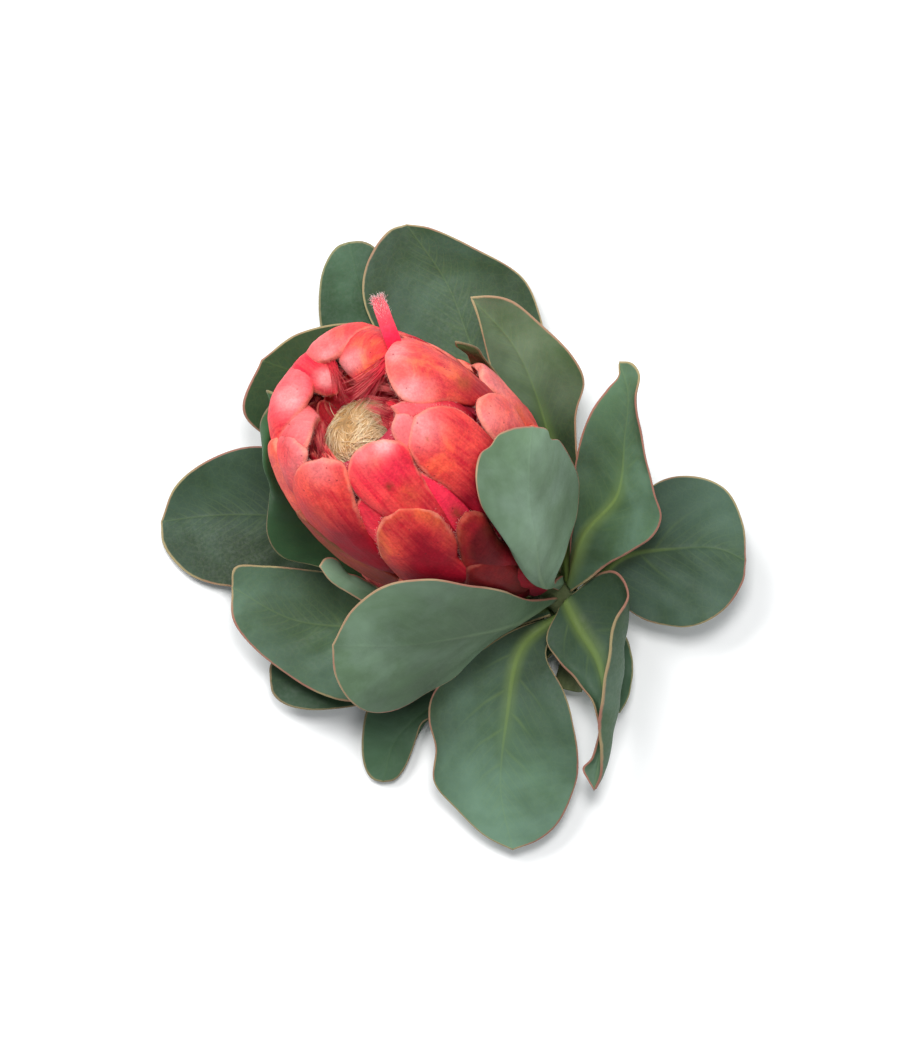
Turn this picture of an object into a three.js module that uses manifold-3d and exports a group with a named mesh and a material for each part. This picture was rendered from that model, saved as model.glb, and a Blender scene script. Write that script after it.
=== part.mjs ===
// A cut protea flower lying on a flat surface, in millimetres, +Z up.
// The head rests among its own leaves with its opening turned up and to the left.
// The short stem lies under it.
// Left, right, top and bottom are meant as seen from straight above, with +Y at the top.
import * as THREE from "three";
import { mergeVertices } from "three/addons/utils/BufferGeometryUtils.js";
import Module from "manifold-3d";

const wasm = await Module();
wasm.setup();

// Driving sizes
const HEAD_BASE = [30.5, -13.5, 22]; // where the head grows from the stem
const HEAD_RISE = 36.9; // degrees between the head's axis and the surface
const HEAD_TURN = 137.4; // degrees from +X to the head's axis, seen from above
const STEM_RADIUS = 5;
const LEAF_EDGE = 0.9; // thickness of a blade at its margin
const LEAF_RIB = 1.1; // what the midrib adds at the leaf's base
const LEAF_FOOT = 2.8; // half the width of a leaf where it grows from the stem
const SEAT_GAP = 0.3; // between pieces that touch
const BRACT_SINK = 4.5; // how deep a bract reaches under the head's surface
const BRACT_BLADE = 2.6; // thickness of a bract that stands free round the opening
const FLORET_COUNT = 44;
const CORE_SIDES = 28;
const FOOT_CLEARANCE = 0.5; // lets the square corners of a leaf's foot clear the round stem

const BRACT_CORAL = 0xe8625e;
const FLORET_CREAM = 0xdcc08a;
const STEM_GREEN = 0x6f7a45;
const LEAF_GREEN = 0x55775f;
const LEAF_DARK = 0x3b5c41;
const LEAF_PALE = 0x83a08f;

// The head's outline: height above its base, then radius. Past the rim it curls in over the opening.
const HEAD_OUTLINE = [
  [0, 8],
  [10, 15.5],
  [20, 22.5],
  [35, 31],
  [50, 36],
  [65, 37.6],
  [80, 37.4],
  [95, 35],
  [106, 31],
  [113, 26.5],
  [116, 20.5],
  [114, 14.5],
  [108, 11],
];
const headCurve = new THREE.CatmullRomCurve3(
  HEAD_OUTLINE.map(([height, radius]) => new THREE.Vector3(radius, 0, height)),
);
headCurve.arcLengthDivisions = 400;
const HEAD_GIRTH_LENGTH = headCurve.getLength();

const rad = THREE.MathUtils.degToRad;

// The head's own frame: Z along its axis, X on its upper side, Y level.
const axis = new THREE.Vector3(
  Math.cos(rad(HEAD_RISE)) * Math.cos(rad(HEAD_TURN)),
  Math.cos(rad(HEAD_RISE)) * Math.sin(rad(HEAD_TURN)),
  Math.sin(rad(HEAD_RISE)),
);
const upSide = new THREE.Vector3(0, 0, 1).addScaledVector(axis, -axis.z).normalize();
const levelSide = new THREE.Vector3().crossVectors(axis, upSide);
const headFrame = new THREE.Matrix4().makeBasis(upSide, levelSide, axis).setPosition(...HEAD_BASE);

const flower = new THREE.Group();
const head = new THREE.Group();
head.applyMatrix4(headFrame);
flower.add(head);

// A point over the head's surface: arc is the way along the outline in mm, turn the degrees round the axis
// from the upper side, and lift the height over the surface.
function onHead(arc, turn, lift) {
  const share = THREE.MathUtils.clamp(arc / HEAD_GIRTH_LENGTH, 0, 1);
  const spot = headCurve.getPointAt(share);
  const along = headCurve.getTangentAt(share);
  const radius = spot.x + along.z * lift;
  const height = spot.z - along.x * lift;
  return new THREE.Vector3(radius * Math.cos(rad(turn)), radius * Math.sin(rad(turn)), height);
}

// The same in the flower's frame, for leaves that hug the head.
function hug(arc, turn, lift) {
  return onHead(arc, turn, lift).applyMatrix4(headFrame);
}

// A closed sheet between two faces, given as front(u, v) and back(u, v). It starts with a straight foot
// at u = 0 and ends in one point at u = 1. Both faces are split into triangles alike.
function sheet(lengthwise, crosswise, front, back) {
  const rows = lengthwise.length - 1;
  const columns = crosswise.length;
  const corners = [];
  for (const face of [front, back]) {
    for (const u of lengthwise.slice(0, rows)) {
      for (const v of crosswise) corners.push(face(u, v));
    }
    corners.push(face(1, 0));
  }
  const frontAt = (row, column) => (row < rows ? row * columns + column : rows * columns);
  const backAt = (row, column) => rows * columns + 1 + frontAt(row, column);
  const triangles = [];
  const quad = (a, b, c, d) => {
    for (const three of [[a, b, c], [a, c, d]]) {
      if (new Set(three).size === 3) triangles.push(...three);
    }
  };
  for (let i = 0; i < rows; i++) {
    for (let j = 0; j < columns - 1; j++) {
      quad(frontAt(i, j), frontAt(i, j + 1), frontAt(i + 1, j + 1), frontAt(i + 1, j));
      quad(backAt(i, j), backAt(i + 1, j), backAt(i + 1, j + 1), backAt(i, j + 1));
    }
    quad(backAt(i, 0), frontAt(i, 0), frontAt(i + 1, 0), backAt(i + 1, 0));
    const last = columns - 1;
    quad(frontAt(i, last), backAt(i, last), backAt(i + 1, last), frontAt(i + 1, last));
  }
  for (let j = 0; j < columns - 1; j++) {
    quad(frontAt(0, j + 1), frontAt(0, j), backAt(0, j), backAt(0, j + 1));
  }
  return solidOf(corners.flatMap((p) => [p.x, p.y, p.z]), triangles);
}

// A solid from corner coordinates and triangles, turned to face out.
function solidOf(coordinates, triangles) {
  const at = (k) => new THREE.Vector3().fromArray(coordinates, 3 * k);
  let volume = 0;
  for (let k = 0; k < triangles.length; k += 3) {
    volume += at(triangles[k]).dot(at(triangles[k + 1]).cross(at(triangles[k + 2])));
  }
  const facing = Array.from(triangles);
  if (volume < 0) facing.reverse();
  const mesh = new wasm.Mesh({
    numProp: 3,
    vertProperties: new Float32Array(coordinates),
    triVerts: new Uint32Array(facing),
  });
  return new wasm.Manifold(mesh);
}

function solidFromGeometry(geometry) {
  const bare = geometry.clone();
  bare.deleteAttribute("normal");
  bare.deleteAttribute("uv");
  const merged = mergeVertices(bare, 1e-4);
  return solidOf(merged.attributes.position.array, merged.index.array);
}

// A solid of revolution about Z from [radius, height] points.
function turnedSolid(outline, sides) {
  const points = outline.map(([radius, height]) => new THREE.Vector2(radius, height));
  return solidFromGeometry(new THREE.LatheGeometry(points, sides).rotateX(Math.PI / 2));
}

function addMesh(parent, name, solid, color, roughness) {
  const { vertProperties, triVerts } = solid.getMesh();
  const geometry = new THREE.BufferGeometry();
  geometry.setAttribute("position", new THREE.BufferAttribute(vertProperties, 3));
  geometry.setIndex(new THREE.BufferAttribute(triVerts, 1));
  const material = new THREE.MeshStandardMaterial({ color, roughness, metalness: 0 });
  const mesh = new THREE.Mesh(geometry, material);
  mesh.name = name;
  parent.add(mesh);
}

// Stem: leaves the head along its axis and bends down to lie on the surface.
const STEM_PRESSED = 0.3; // how far its cut end is pressed flat
const stemTop = new THREE.Vector3(...HEAD_BASE).addScaledVector(axis, -SEAT_GAP);
const stemCurve = new THREE.CatmullRomCurve3([
  stemTop,
  new THREE.Vector3(...HEAD_BASE).addScaledVector(axis, -9),
  new THREE.Vector3(41.5, -26.5, 9.6),
  new THREE.Vector3(42.5, -38, 6.2),
  new THREE.Vector3(39.5, -50, STEM_RADIUS - STEM_PRESSED),
]);
const stemLength = stemCurve.getLength();

function stemSolid() {
  const section = new THREE.Shape().absarc(0, 0, STEM_RADIUS, 0, 2 * Math.PI);
  return solidFromGeometry(
    new THREE.ExtrudeGeometry(section, {
      steps: 12,
      extrudePath: stemCurve,
      curveSegments: 12,
      bevelEnabled: false,
    }),
  );
}

// Everything below the surface that the flower lies on, to press small flats where leaves touch it.
const GROUND = solidFromGeometry(new THREE.BoxGeometry(400, 400, 20).translate(0, 0, -10));

addMesh(flower, "stem", stemSolid().subtract(GROUND), STEM_GREEN, 0.8);

// Where a leaf grows from the stem: down is the way below the head, turn the degrees from the upper side.
function footOn(down, turn) {
  const share = down / stemLength;
  const centre = stemCurve.getPointAt(share);
  const along = stemCurve.getTangentAt(share);
  const up = new THREE.Vector3(0, 0, 1).addScaledVector(along, -along.z).normalize();
  const level = new THREE.Vector3().crossVectors(up, along);
  const outward = up.multiplyScalar(Math.cos(rad(turn))).addScaledVector(level, Math.sin(rad(turn)));
  return {
    middle: centre.addScaledVector(outward, STEM_RADIUS + SEAT_GAP + FOOT_CLEARANCE),
    across: new THREE.Vector3().crossVectors(outward, along).normalize(),
  };
}

const toVector = (p) => (p.isVector3 ? p.clone() : new THREE.Vector3(...p));
const smoothCurve = (points) => new THREE.CatmullRomCurve3(points, false, "centripetal");

const LEAF_ROWS = [0, 0.08, 0.2, 0.34, 0.48, 0.61, 0.73, 0.84, 0.93, 1];
const LEAF_COLUMNS = [-1, -0.55, 0, 0.55, 1];

// One leaf: a trough-shaped blade through its midrib and its two margins, which wave a little.
// rib, left and right hold hand-set points after the foot; the last point of rib is the tip.
// bulgeRight pushes the middle of the right half outwards, for a leaf that folds over.
function leaf(name, color, { grows, rib, left, right, bulgeRight = [0, 0, 0], wave = 0.7, waves = 2.5 }) {
  const foot = footOn(...grows);
  const edgeStart = toVector(left[0]).sub(toVector(right[0])).dot(foot.across) > 0 ? 1 : -1;
  const tip = toVector(rib.at(-1));
  const footCorner = (side) => foot.middle.clone().addScaledVector(foot.across, side * LEAF_FOOT);
  const ribCurve = smoothCurve([foot.middle, ...rib.map(toVector)]);
  const leftCurve = smoothCurve([footCorner(edgeStart), ...left.map(toVector), tip]);
  const rightCurve = smoothCurve([footCorner(-edgeStart), ...right.map(toVector), tip]);

  const bulge = new THREE.Vector3(...bulgeRight);

  const onBlade = (u, v) => {
    const middle = ribCurve.getPointAt(u);
    const a = leftCurve.getPointAt(u);
    const b = rightCurve.getPointAt(u);
    const half = b.clone().sub(a).multiplyScalar(0.5);
    const arch = a.add(b).multiplyScalar(0.5).sub(middle);
    const folded = v > 0 ? 4 * v * (1 - v) * Math.sin(Math.PI * u) : 0;
    return middle.addScaledVector(half, v).addScaledVector(arch, v * v).addScaledVector(bulge, folded);
  };
  const normalAt = (u, v) => {
    const step = 0.02;
    const uNear = Math.min(u, 0.96);
    const lengthways = onBlade(uNear + step, v).sub(onBlade(Math.max(uNear - step, 0), v));
    const sideways = onBlade(uNear, v + step).sub(onBlade(uNear, v - step));
    return new THREE.Vector3().crossVectors(lengthways, sideways).normalize();
  };
  const face = (side) => (u, v) => {
    const ripple = wave * v ** 4 * Math.sin(2 * Math.PI * waves * u + v) * Math.sin(Math.PI * u);
    const thickness = LEAF_EDGE + LEAF_RIB * (1 - u) ** 1.5 * (1 - v * v) ** 2;
    return onBlade(u, v).addScaledVector(normalAt(u, v), ripple + (side * thickness) / 2);
  };
  const solid = sheet(LEAF_ROWS, LEAF_COLUMNS, face(1), face(-1)).subtract(GROUND);
  addMesh(flower, name, solid, color, 0.55);
}

leaf("leaf_top", LEAF_GREEN, {
  grows: [15, 140],
  rib: [[28, 12, 10], [20, 38, 7], [8, 63, 3.6], [-1, 86, 0.2], [-14.5, 105.8, 1.6]],
  left: [
    [18, 10, 8],
    [0, 36, 7],
    [-17, 58, 6],
    [-28.7, 79, 4.5],
    [-28, 92, 3.4],
    [-20.5, 103.5, 2.2],
  ],
  right: [
    [38, 14, 11],
    [36, 40, 11],
    [32.5, 66, 8.5],
    [25, 87, 5],
    [7, 98.2, 3.4],
    [-7, 104.6, 2.2],
  ],
});

leaf("leaf_top_left", LEAF_DARK, {
  grows: [22, 175],
  rib: [[14, 10, 3.6], [-8, 46, 2.8], [-28, 78, 1.6], [-34, 99.8, 1.8]],
  left: [[3, 6, 4], [-22, 36, 4], [-42, 66, 3.4], [-43.5, 86, 3], [-40, 95.5, 2.6]],
  right: [[17, 16, 3.4], [2, 46, 2.4], [-18, 74, 1.2], [-25, 90, 1.2], [-28.5, 98, 1.5]],
});

leaf("leaf_upper_left", LEAF_GREEN, {
  grows: [9, 180],
  rib: [[6, 10, 9], [-20, 34, 15], [-43, 52, 24], [-63, 60, 33]],
  left: [[-2, 2, 9], [-34, 16, 18], [-58, 32, 28], [-69, 43, 34]],
  right: [[14, 18, 9.5], [-2, 50, 13], [-24, 71, 22], [-50, 69, 30]],
});

leaf("leaf_left_cup", LEAF_DARK, {
  grows: [5, 215],
  rib: [hug(40, 222, 6), hug(70, 224, 7.5), hug(100, 228, 9), [-57, 48, 64]],
  left: [
    [-4, -17, 23],
    [-30, -14, 25],
    [-44, -9, 28],
    [-56, -6, 31],
    [-61, 2, 36],
    [-59, 20, 46],
    [-63, 39, 57],
  ],
  right: [hug(25, 205, 5.5), hug(60, 195, 6), hug(95, 197, 6), hug(118, 205, 8)],
});

leaf("leaf_left", LEAF_GREEN, {
  grows: [18, 230],
  rib: [[0, -8, 6], [-35, 3, 5], [-60, 8, 3.5], [-81, 8, -0.15], [-97, 6, 1.6]],
  left: [[-4, 0, 6.5], [-38, 22, 8], [-63, 31, 7], [-80, 27, 5], [-92, 18, 3]],
  right: [[0, -18, 6], [-40, -13, 6.5], [-70, -16, 6], [-87, -12, 4], [-96, -2, 2.6]],
});

leaf("leaf_lower_left", LEAF_GREEN, {
  grows: [12, 262],
  rib: [[10, -26, 13], [-22, -29, 16], [-52, -27, 19], [-73, -16, 22]],
  left: [[6, -18, 13], [-22, -14, 17], [-46, -10.5, 19], [-62, -9, 21], [-72, -9.5, 23]],
  right: [[10, -34, 14], [-14, -48, 17], [-34, -54, 19], [-56, -44, 21], [-72, -28, 23]],
});

leaf("leaf_front_lower", LEAF_PALE, {
  grows: [5, 325],
  rib: [[21, -28, 44], [4, -32, 60], [-18, -35, 68], [-39, -35, 72]],
  left: [[26, -20, 44], [16, -17, 71], [-7, -13, 87], [-22, -16, 86], [-32.5, -23.5, 79]],
  right: [
    [22, -28, 38],
    [13, -33, 41],
    [3.5, -43, 44],
    [-8, -51, 48],
    [-18, -57, 51],
    [-26, -57.5, 54],
    [-33, -53.5, 60],
    [-38, -45, 66],
  ],
});

leaf("leaf_small_front", LEAF_PALE, {
  grows: [3, 278],
  rib: [[14, -26, 31], [-6, -26, 41], [-25, -18.5, 51], [-36, -12.5, 55], [-43.4, -8.8, 57]],
  left: [
    [16, -22.5, 31],
    [-4, -24, 41],
    [-19.5, -18.6, 50],
    [-26, -15, 52.5],
    [-31, -12.2, 53.5],
    [-34.7, -11, 54],
    [-38, -6.6, 55],
    [-41.5, -6.3, 56],
  ],
  right: [[12, -30, 31], [-8, -30, 41], [-25, -22.5, 49.5], [-33, -18, 53], [-40, -13.4, 56]],
});

leaf("leaf_lower_dark", LEAF_DARK, {
  grows: [31, 270],
  rib: [[22, -42, 5], [0, -52, 4], [-18, -67, 3.4], [-22.5, -81.4, 3]],
  left: [[20, -36, 6], [-6, -43, 6], [-26, -54, 5], [-29.3, -66, 4.4], [-28, -77, 3.6]],
  right: [[22, -48, 4.5], [6, -56, 4], [-9, -61, 4], [-12, -69, 4], [-16, -78, 3.4]],
});

leaf("leaf_lower_left_back", LEAF_DARK, {
  grows: [24, 250],
  rib: [[12, -30, 9], [-18, -40, 10], [-45, -46, 10.5], [-60.2, -47.5, 11]],
  left: [[12, -22, 9], [-18, -28, 10], [-44, -34, 11], [-56, -37.5, 11.5], [-60, -42, 11.4]],
  right: [
    [12, -36, 9],
    [-10, -50, 10],
    [-31, -55.5, 11],
    [-47, -57, 11.5],
    [-55.5, -55, 11.5],
    [-59.3, -51.5, 11.3],
  ],
});

leaf("leaf_bottom", LEAF_GREEN, {
  grows: [13, 318],
  rib: [[24, -36, 17.5], [19, -60, 16], [17, -84, 12], [21, -104, 8]],
  left: [
    [18, -32, 20],
    [-5, -51, 20],
    [-7, -60, 19],
    [-4.8, -70, 18],
    [-5.3, -81, 16],
    [2, -90, 12.5],
    [12, -99.5, 9.5],
  ],
  right: [
    [32, -38, 17],
    [38, -51, 17],
    [41.3, -62, 17],
    [42.8, -76, 15],
    [41.3, -84, 13],
    [35.7, -95.5, 10],
    [29, -101, 9],
  ],
});

leaf("leaf_lower_right", LEAF_GREEN, {
  grows: [9, 5],
  rib: [[42, -28, 24], [50, -42, 24], [52, -60, 23], [48.3, -84, 20]],
  left: [
    [32.5, -34.5, 23],
    [42.5, -46.5, 24],
    [48, -56.5, 24],
    [49, -68, 22.5],
    [46, -75, 21.3],
    [45.5, -79, 20.6],
  ],
  right: [
    [49, -12, 27],
    [55, -11, 33],
    [59.3, -18.5, 38],
    [55.7, -26.5, 40],
    [53.5, -37.5, 40],
    [50.8, -49, 38.5],
    [49.8, -61, 35],
    [50.8, -71.5, 29],
    [50.3, -79, 24],
  ],
  bulgeRight: [4.5, 0, -3],
});

leaf("leaf_dark_lower_right", LEAF_DARK, {
  grows: [28, 108],
  rib: [[53, -40, 8], [56, -50, 9], [57, -58, 9.5]],
  left: [[57, -30, 8], [61, -40, 9], [60, -52, 9.5]],
  right: [[50.5, -44, 8], [51, -52, 8.5], [53, -58, 9]],
});

leaf("leaf_right", LEAF_GREEN, {
  grows: [15, 75],
  rib: [[58, -6, 18], [75, -3, 20], [90, -3, 22], [99, -7, 23]],
  left: [[55, 4, 22], [68, 18, 24], [80, 21, 25], [92, 17, 25], [98, 5, 24]],
  right: [[54, -20, 15], [66, -27, 16], [80, -29, 18], [91, -24, 20], [98, -14, 22]],
});

leaf("leaf_upper_right", LEAF_GREEN, {
  grows: [8, 66],
  rib: [[45, 2, 34], [56, 15, 41], [58.5, 34, 47], [59.5, 49, 51], [56.5, 59.3, 52]],
  left: [[41, 6, 36], [42.3, 27, 42], [46.7, 41.7, 47], [52.5, 50, 50], [56.3, 54.5, 51.5]],
  right: [
    [46, -13.5, 29],
    [53, -8, 33],
    [61, -3.4, 37.5],
    [67.5, 1.2, 41],
    [70, 7, 44],
    [68.2, 15, 47.5],
    [65.3, 29.5, 51.5],
    [62, 42, 54],
    [61.5, 48, 54.8],
    [63, 55, 54.2],
    [60.5, 58.8, 53],
  ],
});

leaf("leaf_upper_middle", LEAF_GREEN, {
  grows: [10, 108],
  rib: [[38, 8, 19], [33, 36, 24], [22, 64, 33], [7, 81, 38]],
  left: [[32, 6, 14], [24, 30, 18], [14, 57, 30], [9, 76, 38]],
  right: [
    [44, 12, 24],
    [41.5, 40, 30.5],
    [44.8, 53, 34],
    [41, 61.5, 36],
    [31.5, 70.5, 38],
    [20.5, 79.5, 40],
    [14, 81.3, 39.5],
  ],
});

leaf("leaf_front_right", LEAF_PALE, {
  grows: [3, 35],
  rib: [[30, -14, 62], [28, -2, 80], [26, 12, 88], [26, 26, 90], [27, 37.5, 85]],
  left: [
    [27, -12, 66],
    [19, -1.5, 86],
    [10.3, 12, 100],
    [8.4, 23, 103],
    [12, 32, 99],
    [20.5, 36.6, 92],
  ],
  right: [
    [34.5, -13, 50],
    [40, -1, 55.5],
    [42.3, 12, 58],
    [41.3, 23, 62],
    [37.8, 31, 70],
    [33, 36.3, 78],
  ],
});

leaf("leaf_behind_small", LEAF_DARK, {
  grows: [4, 122],
  rib: [hug(30, 118, 5), hug(60, 112, 5), hug(82, 105, 4.6), hug(98, 103, 4.2)],
  left: [hug(30, 130, 4), hug(60, 125, 4.8), hug(84, 116, 4.6), hug(94, 110, 4.4)],
  right: [hug(30, 106, 6.2), hug(58, 100, 6), hug(78, 94, 5.6), hug(91, 96, 4.8)],
});

// Receptacle: the solid middle of the head, with the cup that holds the florets.
const CORE_DEPTH = 2.6; // the core lies this far under the head's surface
const CORE_NECK_RADIUS = 6.5;
const CUP_FLOOR = 84;
const CUP_FLOOR_RADIUS = 19;
const CUP_RIM = 107;
const CUP_RIM_RADIUS = 24;

function coreSolid() {
  const outline = [[0, 0]];
  for (const [height, radius] of HEAD_OUTLINE) {
    if (height < CUP_RIM) outline.push([Math.max(radius - CORE_DEPTH, CORE_NECK_RADIUS), height]);
  }
  outline.push([CUP_RIM_RADIUS, CUP_RIM], [CUP_FLOOR_RADIUS, CUP_FLOOR], [0, CUP_FLOOR]);
  return turnedSolid(outline, CORE_SIDES);
}

const BRACT_ROWS = [0, 0.25, 0.5, 0.7, 0.86, 0.96, 1];
const BRACT_COLUMNS = [-1, -0.5, 0, 0.5, 1];
const BRACT_FOOT = -1.8; // how high the front of a bract starts at its root, under the row above
const BRACT_LIFT = 1.4; // how high it ends at its tip
const BRACT_PLUMP = 2.5; // how far the middle of a bract swells out between its margins
const BRACT_ROOT_EXTRA = 1; // how much thicker a free bract is at its root
const TURN_TO_MM = 0.5; // evens out the two directions of an outline before it is smoothed

// One bract between two edges of [arc, turn] points, from its root to its tip.
// A scale lies on the head and is buried below; a free one is a thin blade of its own.
function bractSolid({ minus, plus, tip, foot = BRACT_FOOT, lift = BRACT_LIFT, plump = BRACT_PLUMP, free = false }) {
  const [minusEdge, plusEdge] = [minus, plus].map((side) =>
    smoothCurve([...side, tip].map(([arc, turn]) => new THREE.Vector3(arc, turn * TURN_TO_MM, 0))),
  );
  const rootArc = (minus[0][0] + plus[0][0]) / 2;
  const farArc = Math.max(tip[0], minus.at(-1)[0], plus.at(-1)[0]);
  const surface = (depthAt) => (u, v) => {
    const place = minusEdge.getPointAt(u).lerp(plusEdge.getPointAt(u), (v + 1) / 2);
    const risen = THREE.MathUtils.clamp((place.x - rootArc) / (farArc - rootArc), 0, 1);
    const length = 0.45 + 0.55 * Math.sin(Math.PI * Math.min(risen, 0.5));
    const crown = foot + (lift - foot) * risen + plump * (1 - v * v) * Math.sqrt(1 - u ** 6) * length;
    return onHead(place.x, place.y / TURN_TO_MM, depthAt(crown, risen));
  };
  const front = surface((crown) => crown);
  const back = surface((crown, risen) =>
    free ? crown - BRACT_BLADE - BRACT_ROOT_EXTRA * (1 - risen) : -BRACT_SINK,
  );
  return sheet(BRACT_ROWS, BRACT_COLUMNS, front, back);
}

// Bracts that show from above, lowest row first.
const SHOWN_BRACTS = [
  {
    minus: [[20, -70], [45, -72], [60, -68]],
    plus: [[20, -34], [45, -32], [60, -38]],
    tip: [69, -54],
  },
  {
    minus: [[18, -34], [48, -36], [57, -27], [61, -20]],
    plus: [[18, 2], [38.5, -2], [50.5, -5], [57, -9]],
    tip: [60.5, -15], foot: -1.4,
  },
  {
    minus: [[18, 8], [40, 6], [54, 10]],
    plus: [[18, 44], [40, 44], [54, 38]],
    tip: [62, 25],
  },
  {
    minus: [[20, 44], [44, 40], [60, 46]],
    plus: [[20, 80], [44, 84], [60, 78]],
    tip: [68, 62],
  },
  {
    minus: [[36, -14], [57, -25], [66, -19], [73.5, -13], [78, -7]],
    plus: [[36, 20], [56.5, 1], [65.5, 3], [72.5, 5], [77, 2]],
    tip: [79, -1], lift: 1.2,
  },
  {
    minus: [[46, 62], [66, 66], [78.5, 72], [86, 69], [90, 70], [91.5, 74]],
    plus: [[46, 104], [70, 106], [86, 98]],
    tip: [89.5, 83], lift: 1,
  },
  {
    minus: [[58, 40], [80, 39], [86, 39], [92, 42], [95, 47], [95, 53]],
    plus: [[58, 66], [68.5, 66], [72.5, 70], [77.5, 72], [86, 67]],
    tip: [92, 59], foot: -1.2, lift: 1.4,
  },
  {
    minus: [[48, -108], [70, -114], [88, -112], [97, -104]],
    plus: [[48, -56], [70, -58], [88, -68], [97, -80]],
    tip: [101, -91], foot: -0.6, lift: 3,
  },
  {
    minus: [[52, -50], [61.5, -58], [71, -56], [80.5, -53], [88, -47], [93.5, -41], [97, -33]],
    plus: [[52, -8], [64, -22], [71.5, -15], [79.5, -12], [87.5, -11], [93.5, -14]],
    tip: [98.5, -22], foot: -0.6, lift: 1.7, plump: 3,
  },
  {
    minus: [[66, -54], [84, -56], [98.5, -50], [103.5, -46]],
    plus: [[66, -34], [88.5, -34], [97, -31], [102.5, -32]],
    tip: [107, -38], foot: -2.8, lift: -0.8, plump: 1.2,
  },
  {
    minus: [[56, -12], [70.5, -16], [84.5, -10], [94, -7]],
    plus: [[56, 8], [72, 2], [83, 4], [93.5, 3]],
    tip: [103, -2], foot: -2.8, lift: -0.9, plump: 1,
  },
  {
    minus: [[72, -132], [95, -138], [110, -133], [118, -124]],
    plus: [[72, -84], [98.5, -88], [104, -91], [109, -93], [118, -92], [122, -95]],
    tip: [125, -108], foot: 0.2, lift: 1.4,
  },
  {
    minus: [[76, 60], [98, 60], [112, 64], [121, 69]],
    plus: [[76, 104], [96, 94], [110, 88], [121, 85]],
    tip: [126, 77], lift: 0.9, plump: 2,
  },
  {
    minus: [[92, 18], [105, 24], [112, 20], [119, 16]],
    plus: [[92, 48], [103, 47], [112.5, 38], [120.5, 28]],
    tip: [124, 19], foot: -2.4, lift: 0, plump: 1.6,
  },
  {
    minus: [[78, 46], [88, 54], [98.5, 48], [106.5, 42], [114, 32], [120.5, 27], [125, 31], [129, 46]],
    plus: [[82, 80], [92.5, 73], [99, 76], [106, 77], [114, 74], [121.5, 72], [126, 73]],
    tip: [129, 63], lift: 1.7,
  },
  {
    minus: [[70, -66], [80, -82], [89.5, -88], [98.5, -92], [107, -91], [117, -81], [123, -67]],
    plus: [[70, -44], [76, -50], [89.5, -50], [100.5, -45], [109, -40], [116.5, -35], [121, -34]],
    tip: [124.5, -47], foot: -1, lift: 1.7,
  },
  {
    minus: [[70, -32], [87.5, -33], [97.5, -34], [105, -37], [111, -38], [117.5, -34], [121.5, -24], [121.5, -12]],
    plus: [[66, -14], [81, -9], [90.5, -6], [99, -3], [105.5, 0], [110, 4], [114, 4]],
    tip: [119, -2], foot: -2, lift: 1.5, plump: 2.7,
  },
  {
    minus: [[68, 6], [70.5, 2], [80.5, 2], [91.5, 2], [99.5, 0], [106, 1], [111.5, 5], [114.5, 12]],
    plus: [[68, 42], [78, 38], [86, 39], [93.5, 40], [101, 40], [107, 37], [112.5, 30]],
    tip: [115.5, 21], foot: -0.8, lift: 1.9, plump: 2.9,
  },
  {
    minus: [[96, -4], [113, 2], [116.5, 3], [119.5, 7]],
    plus: [[96, 24], [110.5, 22], [114, 22], [118, 21]],
    tip: [121, 16], foot: -2.4, lift: 0.6, plump: 2,
  },
  {
    minus: [[94, -114], [112, -116], [122.5, -113], [128, -106]],
    plus: [[94, -70], [112, -70], [122, -69], [127, -66]],
    tip: [130, -84], foot: -2, lift: 0.4, plump: 1.8, free: true,
  },
  {
    minus: [[96, 72], [114, 74], [125, 80], [129, 88]],
    plus: [[96, 126], [114, 126], [125, 124], [130, 118]],
    tip: [131.5, 104], lift: 1.5, plump: 2, free: true,
  },
  {
    minus: [[104, 163], [124, 161], [137, 161], [141, 168]],
    plus: [[104, 197], [124, 196], [134, 194], [138, 190]],
    tip: [142, 180], lift: 0.8, plump: 2.8, free: true,
  },
  {
    minus: [[108, -124], [126, -128], [134, -126], [138, -118]],
    plus: [[108, -76], [124, -76], [131, -74], [136, -80]],
    tip: [139.5, -98], foot: -2.2, lift: -0.4, plump: 1.6, free: true,
  },
  {
    minus: [[98, 66], [118, 62], [128, 63], [134, 70], [138, 84]],
    plus: [[98, 142], [116, 146], [128, 148], [136, 145], [140, 134]],
    tip: [142, 110], foot: -2.6, lift: 0.8, plump: 2.4, free: true,
  },
  {
    minus: [[94, -172], [112, -177], [124, -179], [130, -177], [134, -170]],
    plus: [[94, -116], [112, -108], [123, -106], [130, -104], [134, -110], [136, -124]],
    tip: [137, -150], lift: 1.9, plump: 3, free: true,
  },
  {
    minus: [[94, 116], [112, 112], [124, 113], [129, 117], [132.5, 124], [135, 137]],
    plus: [[94, 172], [112, 179], [124, 182], [129, 181], [133, 176]],
    tip: [135.5, 158], lift: 1.9, plump: 3, free: true,
  },
];

// The rows on the side that the flower lies on, and the lowest row all round.
// width is the half width in degrees, and HIDDEN_SHAPE the share of it at shares of the length.
const HIDDEN_ROWS = [
  { root: 8, tip: 42, width: 17, from: 0, to: 320, step: 40 },
  { root: 26, tip: 62, width: 22, from: 102, to: 262, step: 40 },
  { root: 44, tip: 82, width: 22, from: 122, to: 236, step: 38 },
  { root: 62, tip: 102, width: 22, from: 130, to: 226, step: 32 },
  { root: 80, tip: 120, width: 19, from: 122, to: 218, step: 32 },
];
const HIDDEN_SHAPE = [[0, 0.7], [0.4, 0.95], [0.65, 1], [0.85, 0.8], [0.96, 0.45]];

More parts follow.
